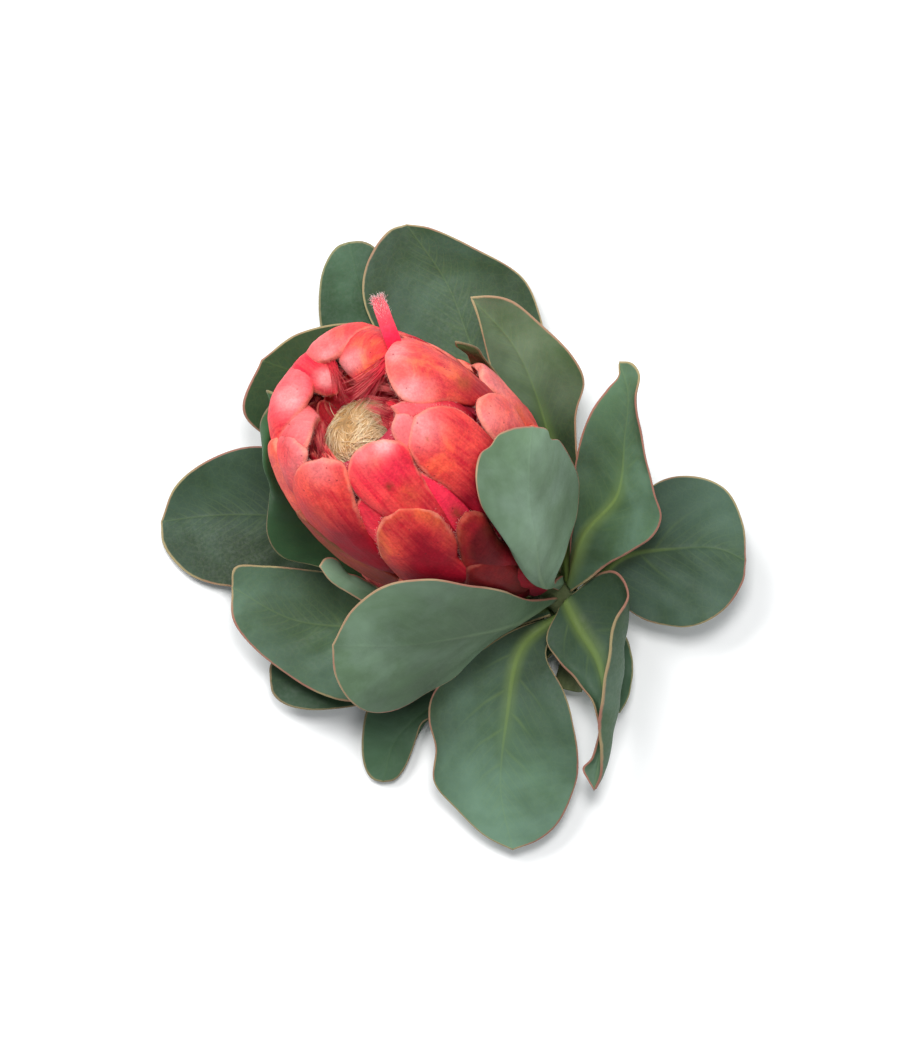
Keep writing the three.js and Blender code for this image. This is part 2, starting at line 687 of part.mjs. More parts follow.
const bloomPieces = SHOWN_BRACTS.map(bractSolid);
for (const { root, tip, width, from, to, step } of HIDDEN_ROWS) {
  const edge = (turn, side) =>
    HIDDEN_SHAPE.map(([share, half]) => [root + (tip - root) * share, turn + side * width * half]);
  for (let turn = from; turn <= to; turn += step) {
    bloomPieces.push(bractSolid({ minus: edge(turn, -1), plus: edge(turn, 1), tip: [tip, turn] }));
  }
}

// The one narrow bract that stands up at the far side of the opening, set in the flower's frame.
const UPRIGHT_SPINE = [[-15.5, 57, 90], [-18.5, 65, 97], [-21.5, 73, 99.5], [-24, 80, 100]];
const UPRIGHT_HALF_WIDTH = 2.8;
const UPRIGHT_HALF_THICKNESS = 0.8;
const UPRIGHT_TAPER = 0.15;
const UPRIGHT_ACROSS = new THREE.Vector3(0.93, 0.36, 0);

function uprightBract() {
  const toHead = headFrame.clone().invert();
  const curve = smoothCurve(UPRIGHT_SPINE.map(toVector));
  const half = (u) => UPRIGHT_HALF_WIDTH * (1 - UPRIGHT_TAPER * u);
  const face = (side) => (u, v) =>
    curve
      .getPointAt(u)
      .addScaledVector(UPRIGHT_ACROSS, v * half(u))
      .add(new THREE.Vector3(0, 0, side * UPRIGHT_HALF_THICKNESS))
      .applyMatrix4(toHead);
  return sheet([0, 0.25, 0.5, 0.75, 0.93, 1], [-1, 0, 1], face(1), face(-1));
}
bloomPieces.push(uprightBract());

// Joins solids into one body; a hollow that the joining seals is filled.
function fused(solids) {
  const bodies = solids.reduce((whole, piece) => whole.add(piece)).decompose();
  return bodies.reduce((best, body) => (body.volume() > best.volume() ? body : best));
}

addMesh(head, "bloom_bracts", fused([coreSolid(), ...bloomPieces]), BRACT_CORAL, 0.6);

// Florets: a dome of woolly tips, their roots sunk in one cushion that sits in the cup.
const FLORET_SEAT = CUP_FLOOR + SEAT_GAP;
const FLORET_DOME_RADIUS = 12.5;
const FLORET_TOP = 107;
const FLORET_ASIDE = -3.5; // the florets lean to one side of the cup
const FLORET_REACH = 1.5; // how far the middle floret stands out of the dome
const FLORET_FALL = 9; // how much lower the outermost floret ends
const FLORET_LENGTH = 8;
const FLORET_FOOT_RADIUS = 1.5;
const FLORET_TWIST = 0.25; // radians that a floret leans round the dome

function cushionSolid() {
  const outline = [
    [0, FLORET_SEAT],
    [CUP_FLOOR_RADIUS - 5, FLORET_SEAT],
    [FLORET_DOME_RADIUS + 1.2, FLORET_SEAT + 5],
    [FLORET_DOME_RADIUS, FLORET_TOP - 9],
    [FLORET_DOME_RADIUS - 4, FLORET_TOP - 4],
    [0, FLORET_TOP - 2],
  ];
  return turnedSolid(outline, 18);
}

const GOLDEN_TURN = Math.PI * (3 - Math.sqrt(5));

function floretSolid(index) {
  const share = Math.sqrt((index + 0.5) / FLORET_COUNT);
  const radius = FLORET_DOME_RADIUS * share;
  const angle = index * GOLDEN_TURN;
  const top = FLORET_TOP + FLORET_REACH - FLORET_FALL * share * share;
  const atTurn = (distance, turn, height) =>
    new THREE.Vector3(distance * Math.cos(turn), distance * Math.sin(turn), height);
  const root = atTurn(radius * 0.8, angle, top - FLORET_LENGTH);
  const tip = atTurn(radius, angle + FLORET_TWIST, top);
  const shape = new THREE.ConeGeometry(FLORET_FOOT_RADIUS, tip.distanceTo(root), 4);
  shape.translate(0, tip.distanceTo(root) / 2, 0);
  const way = tip.clone().sub(root).normalize();
  shape.applyQuaternion(new THREE.Quaternion().setFromUnitVectors(new THREE.Vector3(0, 1, 0), way));
  shape.translate(root.x, root.y, root.z);
  return solidFromGeometry(shape);
}

const floretPieces = [cushionSolid()];
for (let index = 0; index < FLORET_COUNT; index++) floretPieces.push(floretSolid(index));
addMesh(head, "florets", fused(floretPieces).translate([0, FLORET_ASIDE, 0]), FLORET_CREAM, 0.9);

// The flower's origin is on the surface, under the middle of its outline.
flower.updateMatrixWorld(true);
const outline = new THREE.Box3().setFromObject(flower, true);
const middle = outline.getCenter(new THREE.Vector3());
flower.position.set(-middle.x, -middle.y, -outline.min.z);

export default flower;
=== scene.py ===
import math

import bmesh
import bpy
import numpy as np
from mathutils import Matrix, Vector


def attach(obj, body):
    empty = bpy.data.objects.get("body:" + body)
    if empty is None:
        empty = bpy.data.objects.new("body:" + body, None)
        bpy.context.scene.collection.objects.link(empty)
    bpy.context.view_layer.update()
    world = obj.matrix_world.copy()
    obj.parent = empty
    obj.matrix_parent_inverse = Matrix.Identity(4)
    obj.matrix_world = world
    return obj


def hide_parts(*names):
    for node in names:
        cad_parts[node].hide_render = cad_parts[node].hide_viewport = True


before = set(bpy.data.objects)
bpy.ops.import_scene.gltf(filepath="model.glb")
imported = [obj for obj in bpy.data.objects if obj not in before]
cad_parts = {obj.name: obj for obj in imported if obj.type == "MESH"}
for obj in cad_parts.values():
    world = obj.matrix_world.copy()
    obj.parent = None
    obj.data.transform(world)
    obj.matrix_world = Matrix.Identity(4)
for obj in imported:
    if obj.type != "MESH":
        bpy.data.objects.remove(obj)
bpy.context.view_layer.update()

# The set: a pale tabletop, a large soft window light from the upper left and a weak one from the right.
# The camera looks straight down on the flower through a long lens, as the photograph does.
# Sizes here are in metres.
PHOTO_TALL = 0.35  # what the frame's height covers on the flower
PHOTO_MIDDLE = (-0.001, 0.004)
CAMERA_HEIGHT = 6.0
FLOWER_MIDDLE = 0.05  # height above the table at which the frame is that tall
TABLE_HALF = 3.0
TABLE_DROP = 0.0004  # keeps the tabletop clear of the places where the flower touches it

lens_data = bpy.data.cameras.new("camera_above")
lens_data.sensor_width = 36
lens_data.lens = lens_data.sensor_width * (CAMERA_HEIGHT - FLOWER_MIDDLE) / PHOTO_TALL
lens_data.clip_end = 50
camera = bpy.data.objects.new("camera_above", lens_data)
camera.location = (*PHOTO_MIDDLE, CAMERA_HEIGHT)
bpy.context.scene.collection.objects.link(camera)
bpy.context.scene.camera = camera
bpy.context.scene.view_settings.view_transform = "Standard"

tabletop = bpy.data.meshes.new("tabletop")
table_corners = [(x * TABLE_HALF, y * TABLE_HALF, -TABLE_DROP)
                 for x, y in ((-1, -1), (1, -1), (1, 1), (-1, 1))]
tabletop.from_pydata(table_corners, [], [(0, 1, 2, 3)])
table_object = bpy.data.objects.new("tabletop", tabletop)
bpy.context.scene.collection.objects.link(table_object)
table_paint = bpy.data.materials.new("table_paint")
table_paint.use_nodes = True
table_surface = table_paint.node_tree.nodes["Principled BSDF"].inputs
table_surface["Base Color"].default_value = (0.95, 0.95, 0.95, 1)
table_surface["Roughness"].default_value = 0.9
tabletop.materials.append(table_paint)

for light_name, place, breadth, watts in (
    ("window", (-0.8, 1.0, 1.5), 0.9, 30),
    ("overhead", (0.05, 0.5, 1.9), 0.5, 22),
    ("bounce", (1.2, -0.5, 1.1), 1.6, 6),
):
    light_data = bpy.data.lights.new(light_name, "AREA")
    light_data.size = breadth
    light_data.energy = watts
    light = bpy.data.objects.new(light_name, light_data)
    light.location = place
    light.rotation_euler = (-Vector(place)).to_track_quat("-Z", "Y").to_euler()
    bpy.context.scene.collection.objects.link(light)

sky = bpy.data.worlds.new("sky")
sky.use_nodes = True
sky_light = sky.node_tree.nodes["Background"].inputs
sky_light["Color"].default_value = (0.93, 0.97, 1.0, 1)
sky_light["Strength"].default_value = 0.34
bpy.context.scene.world = sky

# The stem: a short woody cut stem that leaves the head along its axis and bends down to lie on the table.
# Green bark with low ridges; the cut end shows paler wood round a pith. It is hidden under the leaves.
# From here on sizes are in millimetres in the flower's own frame, and placed() brings them to metres.
FLOWER_OFFSET = np.array([-1.0005, -0.8764, 0.0])  # the flower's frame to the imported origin
HEAD_BASE = np.array([30.5, -13.5, 22.0])
HEAD_RISE = math.radians(36.9)
HEAD_TURN = math.radians(137.4)
STEM_RADIUS = 5.0
SEAT_GAP = 0.3

head_axis = np.array([
    math.cos(HEAD_RISE) * math.cos(HEAD_TURN),
    math.cos(HEAD_RISE) * math.sin(HEAD_TURN),
    math.sin(HEAD_RISE),
])
up_side = np.array([0, 0, 1]) - head_axis * head_axis[2]
up_side /= np.linalg.norm(up_side)
level_side = np.cross(head_axis, up_side)


def placed(points):
    """Millimetres in the flower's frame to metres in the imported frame."""
    return (np.asarray(points, float) + FLOWER_OFFSET) / 1000


def unit(vectors):
    return vectors / np.maximum(np.linalg.norm(vectors, axis=-1, keepdims=True), 1e-9)


def lengths_along(points):
    """The way from the first of a row of points to each of them."""
    return np.concatenate([[0], np.cumsum(np.linalg.norm(np.diff(points, axis=0), axis=1))])


def smooth_line(points, steps=40):
    """A smooth line through given points, as a function from a share of its length to a place on it."""
    points = [np.asarray(p, float) for p in points]
    drawn = []
    t = np.linspace(0, 1, steps, endpoint=False)[:, None]
    for k in range(len(points) - 1):
        p1, p2 = points[k], points[k + 1]
        p0 = points[k - 1] if k > 0 else 2 * p1 - p2
        p3 = points[k + 2] if k + 2 < len(points) else 2 * p2 - p1
        gap0, gap1, gap2 = (math.sqrt(max(np.linalg.norm(b - a), 1e-4))
                            for a, b in ((p0, p1), (p1, p2), (p2, p3)))
        start = ((p1 - p0) / gap0 - (p2 - p0) / (gap0 + gap1) + (p2 - p1) / gap1) * gap1
        end = ((p2 - p1) / gap1 - (p3 - p1) / (gap1 + gap2) + (p3 - p2) / gap2) * gap1
        square = 3 * (p2 - p1) - 2 * start - end
        cube = 2 * (p1 - p2) + start + end
        drawn.append(p1 + start * t + square * t**2 + cube * t**3)
    drawn = np.concatenate([*drawn, points[-1][None]])
    lengths = lengths_along(drawn)

    def at(share):
        way = np.clip(np.asarray(share, float), 0, 1) * lengths[-1]
        return np.stack([np.interp(way, lengths, drawn[:, axis]) for axis in range(drawn.shape[1])], -1)

    at.length = lengths[-1]
    return at


def sealed(mesh):
    """Joins the corners that meet at a pole or a seam, and turns every face outwards."""
    shape = bmesh.new()
    shape.from_mesh(mesh)
    bmesh.ops.remove_doubles(shape, verts=shape.verts, dist=1e-7)
    bmesh.ops.recalc_face_normals(shape, faces=shape.faces)
    shape.to_mesh(mesh)
    shape.free()


def make_piece(name, corners, faces, *, attributes=(), material=None, edges=()):
    """A smooth mesh object from millimetre corners in the flower's frame, with attributes of its corners."""
    mesh = bpy.data.meshes.new(name)
    mesh.from_pydata(placed(corners).tolist(), list(edges), faces)
    for label, values in dict(attributes).items():
        values = np.asarray(values, np.float32)
        kind = "FLOAT_VECTOR" if values.ndim == 2 else "FLOAT"
        layer = mesh.attributes.new(label, kind, "POINT")
        layer.data.foreach_set("vector" if values.ndim == 2 else "value", values.ravel())
    if faces and not edges:
        sealed(mesh)
    mesh.shade_smooth()
    if material:
        mesh.materials.append(material)
    piece = bpy.data.objects.new(name, mesh)
    bpy.context.scene.collection.objects.link(piece)
    return piece


def grid_faces(rows, columns, start=0, flip=False, closed=False):
    """Quads of a grid of corners, row by row; closed joins the last column to the first."""
    across = columns if closed else columns - 1
    faces = []
    for i in range(rows - 1):
        for j in range(across):
            k = (j + 1) % columns
            near, far = start + i * columns, start + (i + 1) * columns
            quad = (near + j, near + k, far + k, far + j)
            faces.append(quad[::-1] if flip else quad)
    return faces


def shell_faces(rows, columns):
    """Faces of a thin shell from two grids of corners, front then back, closed at its sides and its root."""
    count = rows * columns
    faces = grid_faces(rows, columns) + grid_faces(rows, columns, count, flip=True)
    for i in range(rows - 1):
        for j, flip in ((0, True), (columns - 1, False)):
            a, b = i * columns + j, (i + 1) * columns + j
            quad = (a, count + a, count + b, b)
            faces.append(quad[::-1] if flip else quad)
    return faces + [(j, count + j, count + j + 1, j + 1) for j in range(columns - 1)]


def belongs(piece, node):
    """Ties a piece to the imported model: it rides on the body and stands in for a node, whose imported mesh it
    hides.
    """
    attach(piece, "root")
    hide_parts(node)


class Signal:
    """A number on its way through a node tree, so that a sum of such numbers is written as a sum."""

    def __init__(self, nodes, socket):
        self.nodes = nodes
        self.socket = socket

    def __add__(self, other):
        return self.nodes.calc("ADD", self, other)

    def __sub__(self, other):
        return self.nodes.calc("SUBTRACT", self, other)

    def __mul__(self, other):
        return self.nodes.calc("MULTIPLY", self, other)

    def __truediv__(self, other):
        return self.nodes.calc("DIVIDE", self, other)


class Nodes:
    """A node tree under construction: short calls that add nodes and set or link their inputs."""

    def __init__(self, tree):
        self.tree = tree

    def put(self, socket, value):
        value = getattr(value, "socket", value)
        if isinstance(value, bpy.types.NodeSocket):
            self.tree.links.new(value, socket)
        elif isinstance(value, tuple) and len(value) == 3 and len(socket.default_value) == 4:
            socket.default_value = (*value, 1)
        else:
            socket.default_value = value

    def fill(self, node, inputs):
        for key, value in inputs.items():
            self.put(node.inputs[key.replace("_", " ")], value)

    def node(self, kind, settings=(), **inputs):
        made = self.tree.nodes.new(kind)
        for key, value in dict(settings).items():
            setattr(made, key, value)
        self.fill(made, inputs)
        return made

    def calc(self, operation, *values, clamp=False):
        made = self.node("ShaderNodeMath", {"operation": operation, "use_clamp": clamp})
        for socket, value in zip(made.inputs, values):
            self.put(socket, value)
        return Signal(self, made.outputs[0])


class Finish(Nodes):
    """A material under construction."""

    def __init__(self, name):
        self.material = bpy.data.materials.new(name)
        self.material.use_nodes = True
        super().__init__(self.material.node_tree)
        self.surface = self.tree.nodes["Principled BSDF"]
        self.spot = self.node("ShaderNodeTexCoord").outputs["Object"]

    def ramp(self, value, low, high, out_low=0.0, out_high=1.0):
        """Value from low to high, eased, mapped to out_low to out_high."""
        made = self.node("ShaderNodeMapRange", {"interpolation_type": "SMOOTHSTEP"}, Value=value,
                         From_Min=low, From_Max=high, To_Min=out_low, To_Max=out_high)
        return Signal(self, made.outputs[0])

    def blend(self, share, first, second, mode="MIX"):
        made = self.node("ShaderNodeMix", {"data_type": "RGBA", "blend_type": mode})
        for index, value in ((0, share), (6, first), (7, second)):
            self.put(made.inputs[index], value)
        return made.outputs[2]

    def dimmed(self, color, share):
        gray = self.node("ShaderNodeCombineXYZ", X=share, Y=share, Z=share).outputs[0]
        return self.blend(1.0, color, gray, "MULTIPLY")

    def noise(self, scale, detail=3.0, roughness=0.55, at=None, distortion=0.0):
        made = self.node("ShaderNodeTexNoise", Scale=scale, Detail=detail, Roughness=roughness,
                         Distortion=distortion, Vector=at or self.spot)
        return Signal(self, made.outputs[0])

    def cells(self, feature, scale):
        made = self.node("ShaderNodeTexVoronoi", {"feature": feature}, Scale=scale, Vector=self.spot)
        return Signal(self, made.outputs["Distance"])

    def fact(self, label):
        """A number attribute of the piece's own mesh."""
        return Signal(self, self.node("ShaderNodeAttribute", {"attribute_name": label}).outputs["Fac"])

    def facts(self, label):
        """The three parts of a vector attribute of the piece's own mesh."""
        made = self.node("ShaderNodeAttribute", {"attribute_name": label})
        apart = self.node("ShaderNodeSeparateXYZ", Vector=made.outputs["Vector"])
        return [Signal(self, part) for part in apart.outputs]

    def look(self, **inputs):
        self.fill(self.surface, inputs)

    def bump(self, height, strength, distance):
        made = self.node("ShaderNodeBump", Height=height, Strength=strength, Distance=distance)
        self.look(Normal=made.outputs[0])


stem_top = HEAD_BASE - head_axis * SEAT_GAP
stem_line = smooth_line([
    stem_top,
    HEAD_BASE - head_axis * 9,
    (41.5, -26.5, 9.6),
    (42.5, -38, 6.2),
    (39.5, -50, STEM_RADIUS - 0.3),
])


def stem_axes(share):
    """The stem's middle, its way down, and its upper and level sides there."""
    middle = stem_line(share)
    along = unit(stem_line(np.minimum(share + 0.01, 1)) - stem_line(np.maximum(share - 0.01, 0)))
    up = unit(np.array([0, 0, 1]) - along * along[..., 2:3])
    return middle, along, up, np.cross(up, along)


STEM_RINGS = 70
STEM_SIDES = 40
BARK_RIDGE = 0.22
WOOD_RADIUS = 3.4
PITH_RADIUS = 1.3
CUT_DISH = 0.25

STEM_TURNS = np.linspace(0, 2 * math.pi, STEM_SIDES, endpoint=False)

stem_corners, from_pith = [], []


def add_ring(share, radii, outermost, sunk=0.0):
    """Adds a ring of corners round the stem's middle, and returns their numbers."""
    middle, along, up, level = (part[0] for part in stem_axes(np.array([share])))
    for turn, radius in zip(STEM_TURNS, radii):
        stem_corners.append(middle + radius * (math.cos(turn) * up + math.sin(turn) * level) - along * sunk)
        from_pith.append(outermost)
    return list(range(len(stem_corners) - STEM_SIDES, len(stem_corners)))


for share in np.linspace(0, 1, STEM_RINGS):
    ridges = np.sin(7 * STEM_TURNS + 9 * share) * 0.6 + np.sin(12 * STEM_TURNS - 17 * share) * 0.4
    add_ring(share, STEM_RADIUS - BARK_RIDGE + BARK_RIDGE * ridges, STEM_RADIUS)
stem_faces = grid_faces(STEM_RINGS, STEM_SIDES, closed=True)
for share, ring_start, is_cut_end in ((0.0, 0, False), (1.0, (STEM_RINGS - 1) * STEM_SIDES, True)):
    outer = list(range(ring_start, ring_start + STEM_SIDES))
    for radius in (WOOD_RADIUS, PITH_RADIUS):
        inner = add_ring(share, [radius] * STEM_SIDES, radius, CUT_DISH if is_cut_end else 0)
        for j in range(STEM_SIDES):
            k = (j + 1) % STEM_SIDES
            quad = (outer[j], outer[k], inner[k], inner[j])
            stem_faces.append(quad if is_cut_end else quad[::-1])
        outer = inner
    stem_faces.append(tuple(outer) if is_cut_end else tuple(outer[::-1]))
stem_corners = np.array(stem_corners)
stem_corners[:, 2] = np.maximum(stem_corners[:, 2], 0)

bark = Finish("bark")
from_middle = bark.fact("from_pith")
streaks = bark.noise(900, 4, 0.6)
bark_color = bark.blend(streaks, (0.05, 0.085, 0.025), (0.13, 0.14, 0.055))
wood_color = bark.blend(bark.noise(1500, 3), (0.1, 0.12, 0.04), (0.2, 0.21, 0.08))
pith_color = bark.blend(bark.ramp(from_middle, 0.9, 1.6), (0.12, 0.09, 0.04), wood_color)
is_cut = bark.ramp(from_middle, 4.2, 3.9)
bark.look(Base_Color=bark.blend(is_cut, bark_color, pith_color), Roughness=0.75)
bark.bump(streaks, 0.5, 0.0004)

stem = make_piece("stem_bark", stem_corners, stem_faces, material=bark.material,
                  attributes={"from_pith": from_pith})
belongs(stem, "stem")

# The leaves: eighteen leathery blades that grow in a spiral from the stem, waved at the edge and glaucous,
# with a thick yellow-green midrib, forked side veins and a thin pink horny margin that runs round the blade.
# Each is one tissue, so blade and margin are one mesh; the margin bead is laid along its edge by nodes.
LEAF_EDGE = 0.9
LEAF_RIB = 1.1
LEAF_FOOT = 2.8
FOOT_CLEARANCE = 0.5
LEAF_ROWS = 104
LEAF_COLUMNS = 41
BEAD_RADIUS = 0.3
VEIN_SPACING = 13.0
VEIN_SLOPE = 0.75
VEIN_CURVE = 0.011
VEIN_STAGGER = 0.45  # how far one half's veins are shifted against the other's, as a share of the spacing
VEIN_WOBBLE = 3.0
EDGE_WAVE = 0.7
EDGE_WAVES = 2.5
QUILT = 0.22  # how far the blade swells between its side veins

# The head's outline, height above its base and radius, on which the hugging leaves lie.
HEAD_OUTLINE = [
    (0, 8), (10, 15.5), (20, 22.5), (35, 31), (50, 36), (65, 37.6), (80, 37.4),
    (95, 35), (106, 31), (113, 26.5), (116, 20.5), (114, 14.5), (108, 11),
]
head_line = smooth_line(HEAD_OUTLINE)
LINE_STEP = 0.004  # the share of such a line over which its direction is taken


def in_head(height, up, level):
    """A place from its height along the head's axis and its distances to the head's upper and level sides."""
    return HEAD_BASE + height * head_axis + up * up_side + level * level_side


def on_head(arc, turn, lift, line=head_line):
    """A place over the head: arc mm along its outline, turn degrees from its upper side, lift mm out."""
    arc, turn, lift = np.broadcast_arrays(*(np.asarray(x, float) for x in (arc, turn, lift)))
    share = np.minimum(arc / line.length, 1 - LINE_STEP)
    along = unit(line(share + LINE_STEP) - line(share - LINE_STEP))
    spot = line(arc / line.length) + np.maximum(arc - line.length, 0)[..., None] * along
    height = spot[..., 0] - along[..., 1] * lift
    radius = spot[..., 1] + along[..., 0] * lift
    angle = np.radians(turn)
    return in_head(*(part[..., None] for part in (height, radius * np.cos(angle), radius * np.sin(angle))))


def hug(arc, turn, lift):
    """A point of a leaf that lies on the head."""
    return tuple(on_head(arc, turn, lift))


class Growth(Nodes):
    """A geometry node tree under construction, with named inputs and one geometry that comes out."""

    def __init__(self, name, result, **kinds):
        super().__init__(bpy.data.node_groups.new(name, "GeometryNodeTree"))
        sockets = [(label.replace("_", " "), "INPUT", kind) for label, kind in kinds.items()]
        for label, way, kind in (*sockets, (result, "OUTPUT", "Geometry")):
            self.tree.interface.new_socket(label, in_out=way, socket_type=f"NodeSocket{kind}")
        self.given = self.node("NodeGroupInput").outputs
        self.result = self.node("NodeGroupOutput").inputs[result]

    def attribute(self, label, kind="FLOAT"):
        made = self.node("GeometryNodeInputNamedAttribute", {"data_type": kind}, Name=label)
        return made.outputs["Attribute"]

    def tube(self, line, scale, **section):
        """A smooth closed tube along a curve."""
        outline = self.node("GeometryNodeCurvePrimitiveCircle", Radius=1.0, **section).outputs["Curve"]
        made = self.node("GeometryNodeCurveToMesh", Curve=line, Profile_Curve=outline, Scale=scale,
                         Fill_Caps=True)
        smooth = self.node("GeometryNodeSetShadeSmooth")
        self.put(smooth.inputs[0], made.outputs["Mesh"])
        return smooth.outputs[0]

    def ended(self, geometry, tissue):
        """Ends the tree in real geometry of one tissue."""
        real = self.node("GeometryNodeRealizeInstances", Geometry=geometry).outputs["Geometry"]
        made = self.node("GeometryNodeSetMaterial", Geometry=real, Material=self.given[tissue])
        self.put(self.result, made.outputs["Geometry"])
        return self.tree


def margin_tree():
    """Lays a bead along the loose rim edges of a blade and joins it to the blade."""
    margin = Growth("leaf_margin", "Leaf", Blade="Geometry", Bead_Radius="Float", Bead_Sides="Int",
                    Leaf_Tissue="Material")
    blade, is_rim = margin.given["Blade"], margin.attribute("rim", "BOOLEAN")
    line = margin.node("GeometryNodeMeshToCurve", Mesh=blade, Selection=is_rim).outputs["Curve"]
    thick = margin.calc("MULTIPLY", margin.attribute("bead"), margin.given["Bead Radius"])
    bead = margin.tube(line, thick, Resolution=margin.given["Bead Sides"])
    bare = margin.node("GeometryNodeDeleteGeometry", {"domain": "EDGE"}, Geometry=blade, Selection=is_rim)
    join = margin.node("GeometryNodeJoinGeometry", Geometry=bare.outputs["Geometry"])
    margin.put(join.inputs["Geometry"], bead)
    return margin.ended(join.outputs["Geometry"], "Leaf Tissue")


def grown(piece, tree, **inputs):
    """Runs a node tree on a piece and keeps the result as the piece's plain mesh."""
    modifier = piece.modifiers.new(tree.name, "NODES")
    modifier.node_group = tree
    sockets = {item.name: item.identifier for item in tree.interface.items_tree if item.in_out == "INPUT"}
    for label, value in inputs.items():
        modifier[sockets[label.replace("_", " ")]] = value
    bpy.context.view_layer.update()
    evaluated = piece.evaluated_get(bpy.context.evaluated_depsgraph_get())
    mesh = bpy.data.meshes.new_from_object(evaluated)
    sealed(mesh)
    piece.modifiers.clear()
    old = piece.data
    piece.data = mesh
    bpy.data.meshes.remove(old)
    mesh.name = piece.name
    mesh.shade_smooth()


MARGIN_TREE = margin_tree()


def leaf_finish(name, deep, glaucous, vein, vein_strength, margin, dry_margin):
    """Waxy leaf tissue: deep green under a bluish bloom, with veins that fork from the midrib."""
    tissue = Finish(name)
    along, across, from_edge = tissue.facts("blade")
    # The tone holds the painted light and shade of each place, then how bluish it is and how yellow round the
    # midrib.
    light, cool, glow = tissue.facts("tone")
    share = tissue.fact("share")
    aside = tissue.calc("ABSOLUTE", across)
    side = tissue.calc("GREATER_THAN", across, 0.0)
    to_edge = from_edge / (aside + from_edge + 0.01)

    def side_veins(spacing, slope, curve, width):
        warp = tissue.noise(70, 2) * VEIN_WOBBLE
        place = (along - (aside * slope + aside * aside * curve) + warp) / spacing + side * VEIN_STAGGER
        off = tissue.calc("ABSOLUTE", tissue.calc("FRACT", place) - 0.5)
        thick = (to_edge * 0.8 + 0.2) * (width / spacing)
        line = tissue.calc("SUBTRACT", 1.0, off / thick, clamp=True)
        return tissue.calc("POWER", line, 0.8) * tissue.ramp(to_edge, 0.08, 0.95)

    main_veins = side_veins(VEIN_SPACING, VEIN_SLOPE, VEIN_CURVE, 1.3)
    main_veins *= tissue.ramp(tissue.noise(45, 2), 0.3, 0.65, 0.05, 0.36)
    main_veins *= tissue.ramp(share, 0.85, 0.35, 0.3, 1.0)
    fine_veins = side_veins(4.2, 1.25, 0.004, 0.7) * 0.12
    net = tissue.ramp(tissue.cells("DISTANCE_TO_EDGE", 420.0), 0.12, 0.0) * 0.05
    rib_width = tissue.ramp(share, 0.0, 0.8, 2.6, 0.5)
    midrib = tissue.ramp(tissue.calc("SUBTRACT", 1.0, aside / rib_width, clamp=True), 0.0, 0.9)
    midrib *= tissue.ramp(share, 0.75, 0.25, 0.15, 0.9)
    foot_glow = tissue.ramp(share, 0.75, 0.1) * tissue.ramp(aside, 4.2, 0.2) * glow
    veins = midrib
    for part in (main_veins, fine_veins, net, foot_glow):
        veins = tissue.calc("MAXIMUM", veins, part)

    patches = tissue.ramp(tissue.noise(26, 5, 0.6, distortion=0.6), 0.3, 0.7, -0.4, 0.4)
    dust = tissue.noise(900, 2, 0.6)
    green = tissue.blend(tissue.calc("ADD", cool, patches, clamp=True), deep, glaucous)
    green = tissue.blend(dust * 0.12, green, glaucous)
    # painted light and shade: the green darkened or lightened by the leaf's painted light, times a random tone
    green = tissue.dimmed(green, light * tissue.ramp(tissue.noise(22, 4), 0.3, 0.7, 0.7, 1.28))
    color = tissue.blend(veins * vein_strength, green, vein)
    rim_color = tissue.blend(tissue.ramp(tissue.noise(38, 2), 0.42, 0.6), margin, dry_margin)
    rim = tissue.ramp(from_edge + tissue.noise(420, 2) * 0.3, 0.5, 0.2)
    tissue.look(Base_Color=tissue.blend(rim, color, rim_color), Specular_IOR_Level=0.24,
                Roughness=tissue.ramp(dust, 0.3, 0.7, 0.5, 0.66))
    tissue.bump(veins * 0.6 + dust * 0.25, 0.35, 0.0005)
    return tissue.material


LEAF_TISSUES = {
    "green": leaf_finish("leaf_green", (0.044, 0.09, 0.034), (0.108, 0.19, 0.13), (0.23, 0.33, 0.07), 0.65,
                         (0.31, 0.14, 0.1), (0.32, 0.26, 0.13)),
    # The dark tissue is painted shade: a darker copy of the green one for the leaves that lie in shadow behind
    # and under the head.
    "dark": leaf_finish("leaf_dark", (0.02, 0.056, 0.018), (0.064, 0.128, 0.076), (0.11, 0.19, 0.04), 0.4,
                        (0.2, 0.15, 0.08), (0.22, 0.21, 0.1)),
    "bronze": leaf_finish("leaf_bronze", (0.055, 0.095, 0.04), (0.128, 0.17, 0.11), (0.22, 0.33, 0.07), 0.75,
                          (0.34, 0.2, 0.12), (0.36, 0.28, 0.15)),
    "pale": leaf_finish("leaf_pale", (0.11, 0.185, 0.1), (0.225, 0.33, 0.245), (0.28, 0.38, 0.2), 0.25,
                        (0.36, 0.155, 0.11), (0.38, 0.26, 0.15)),
}


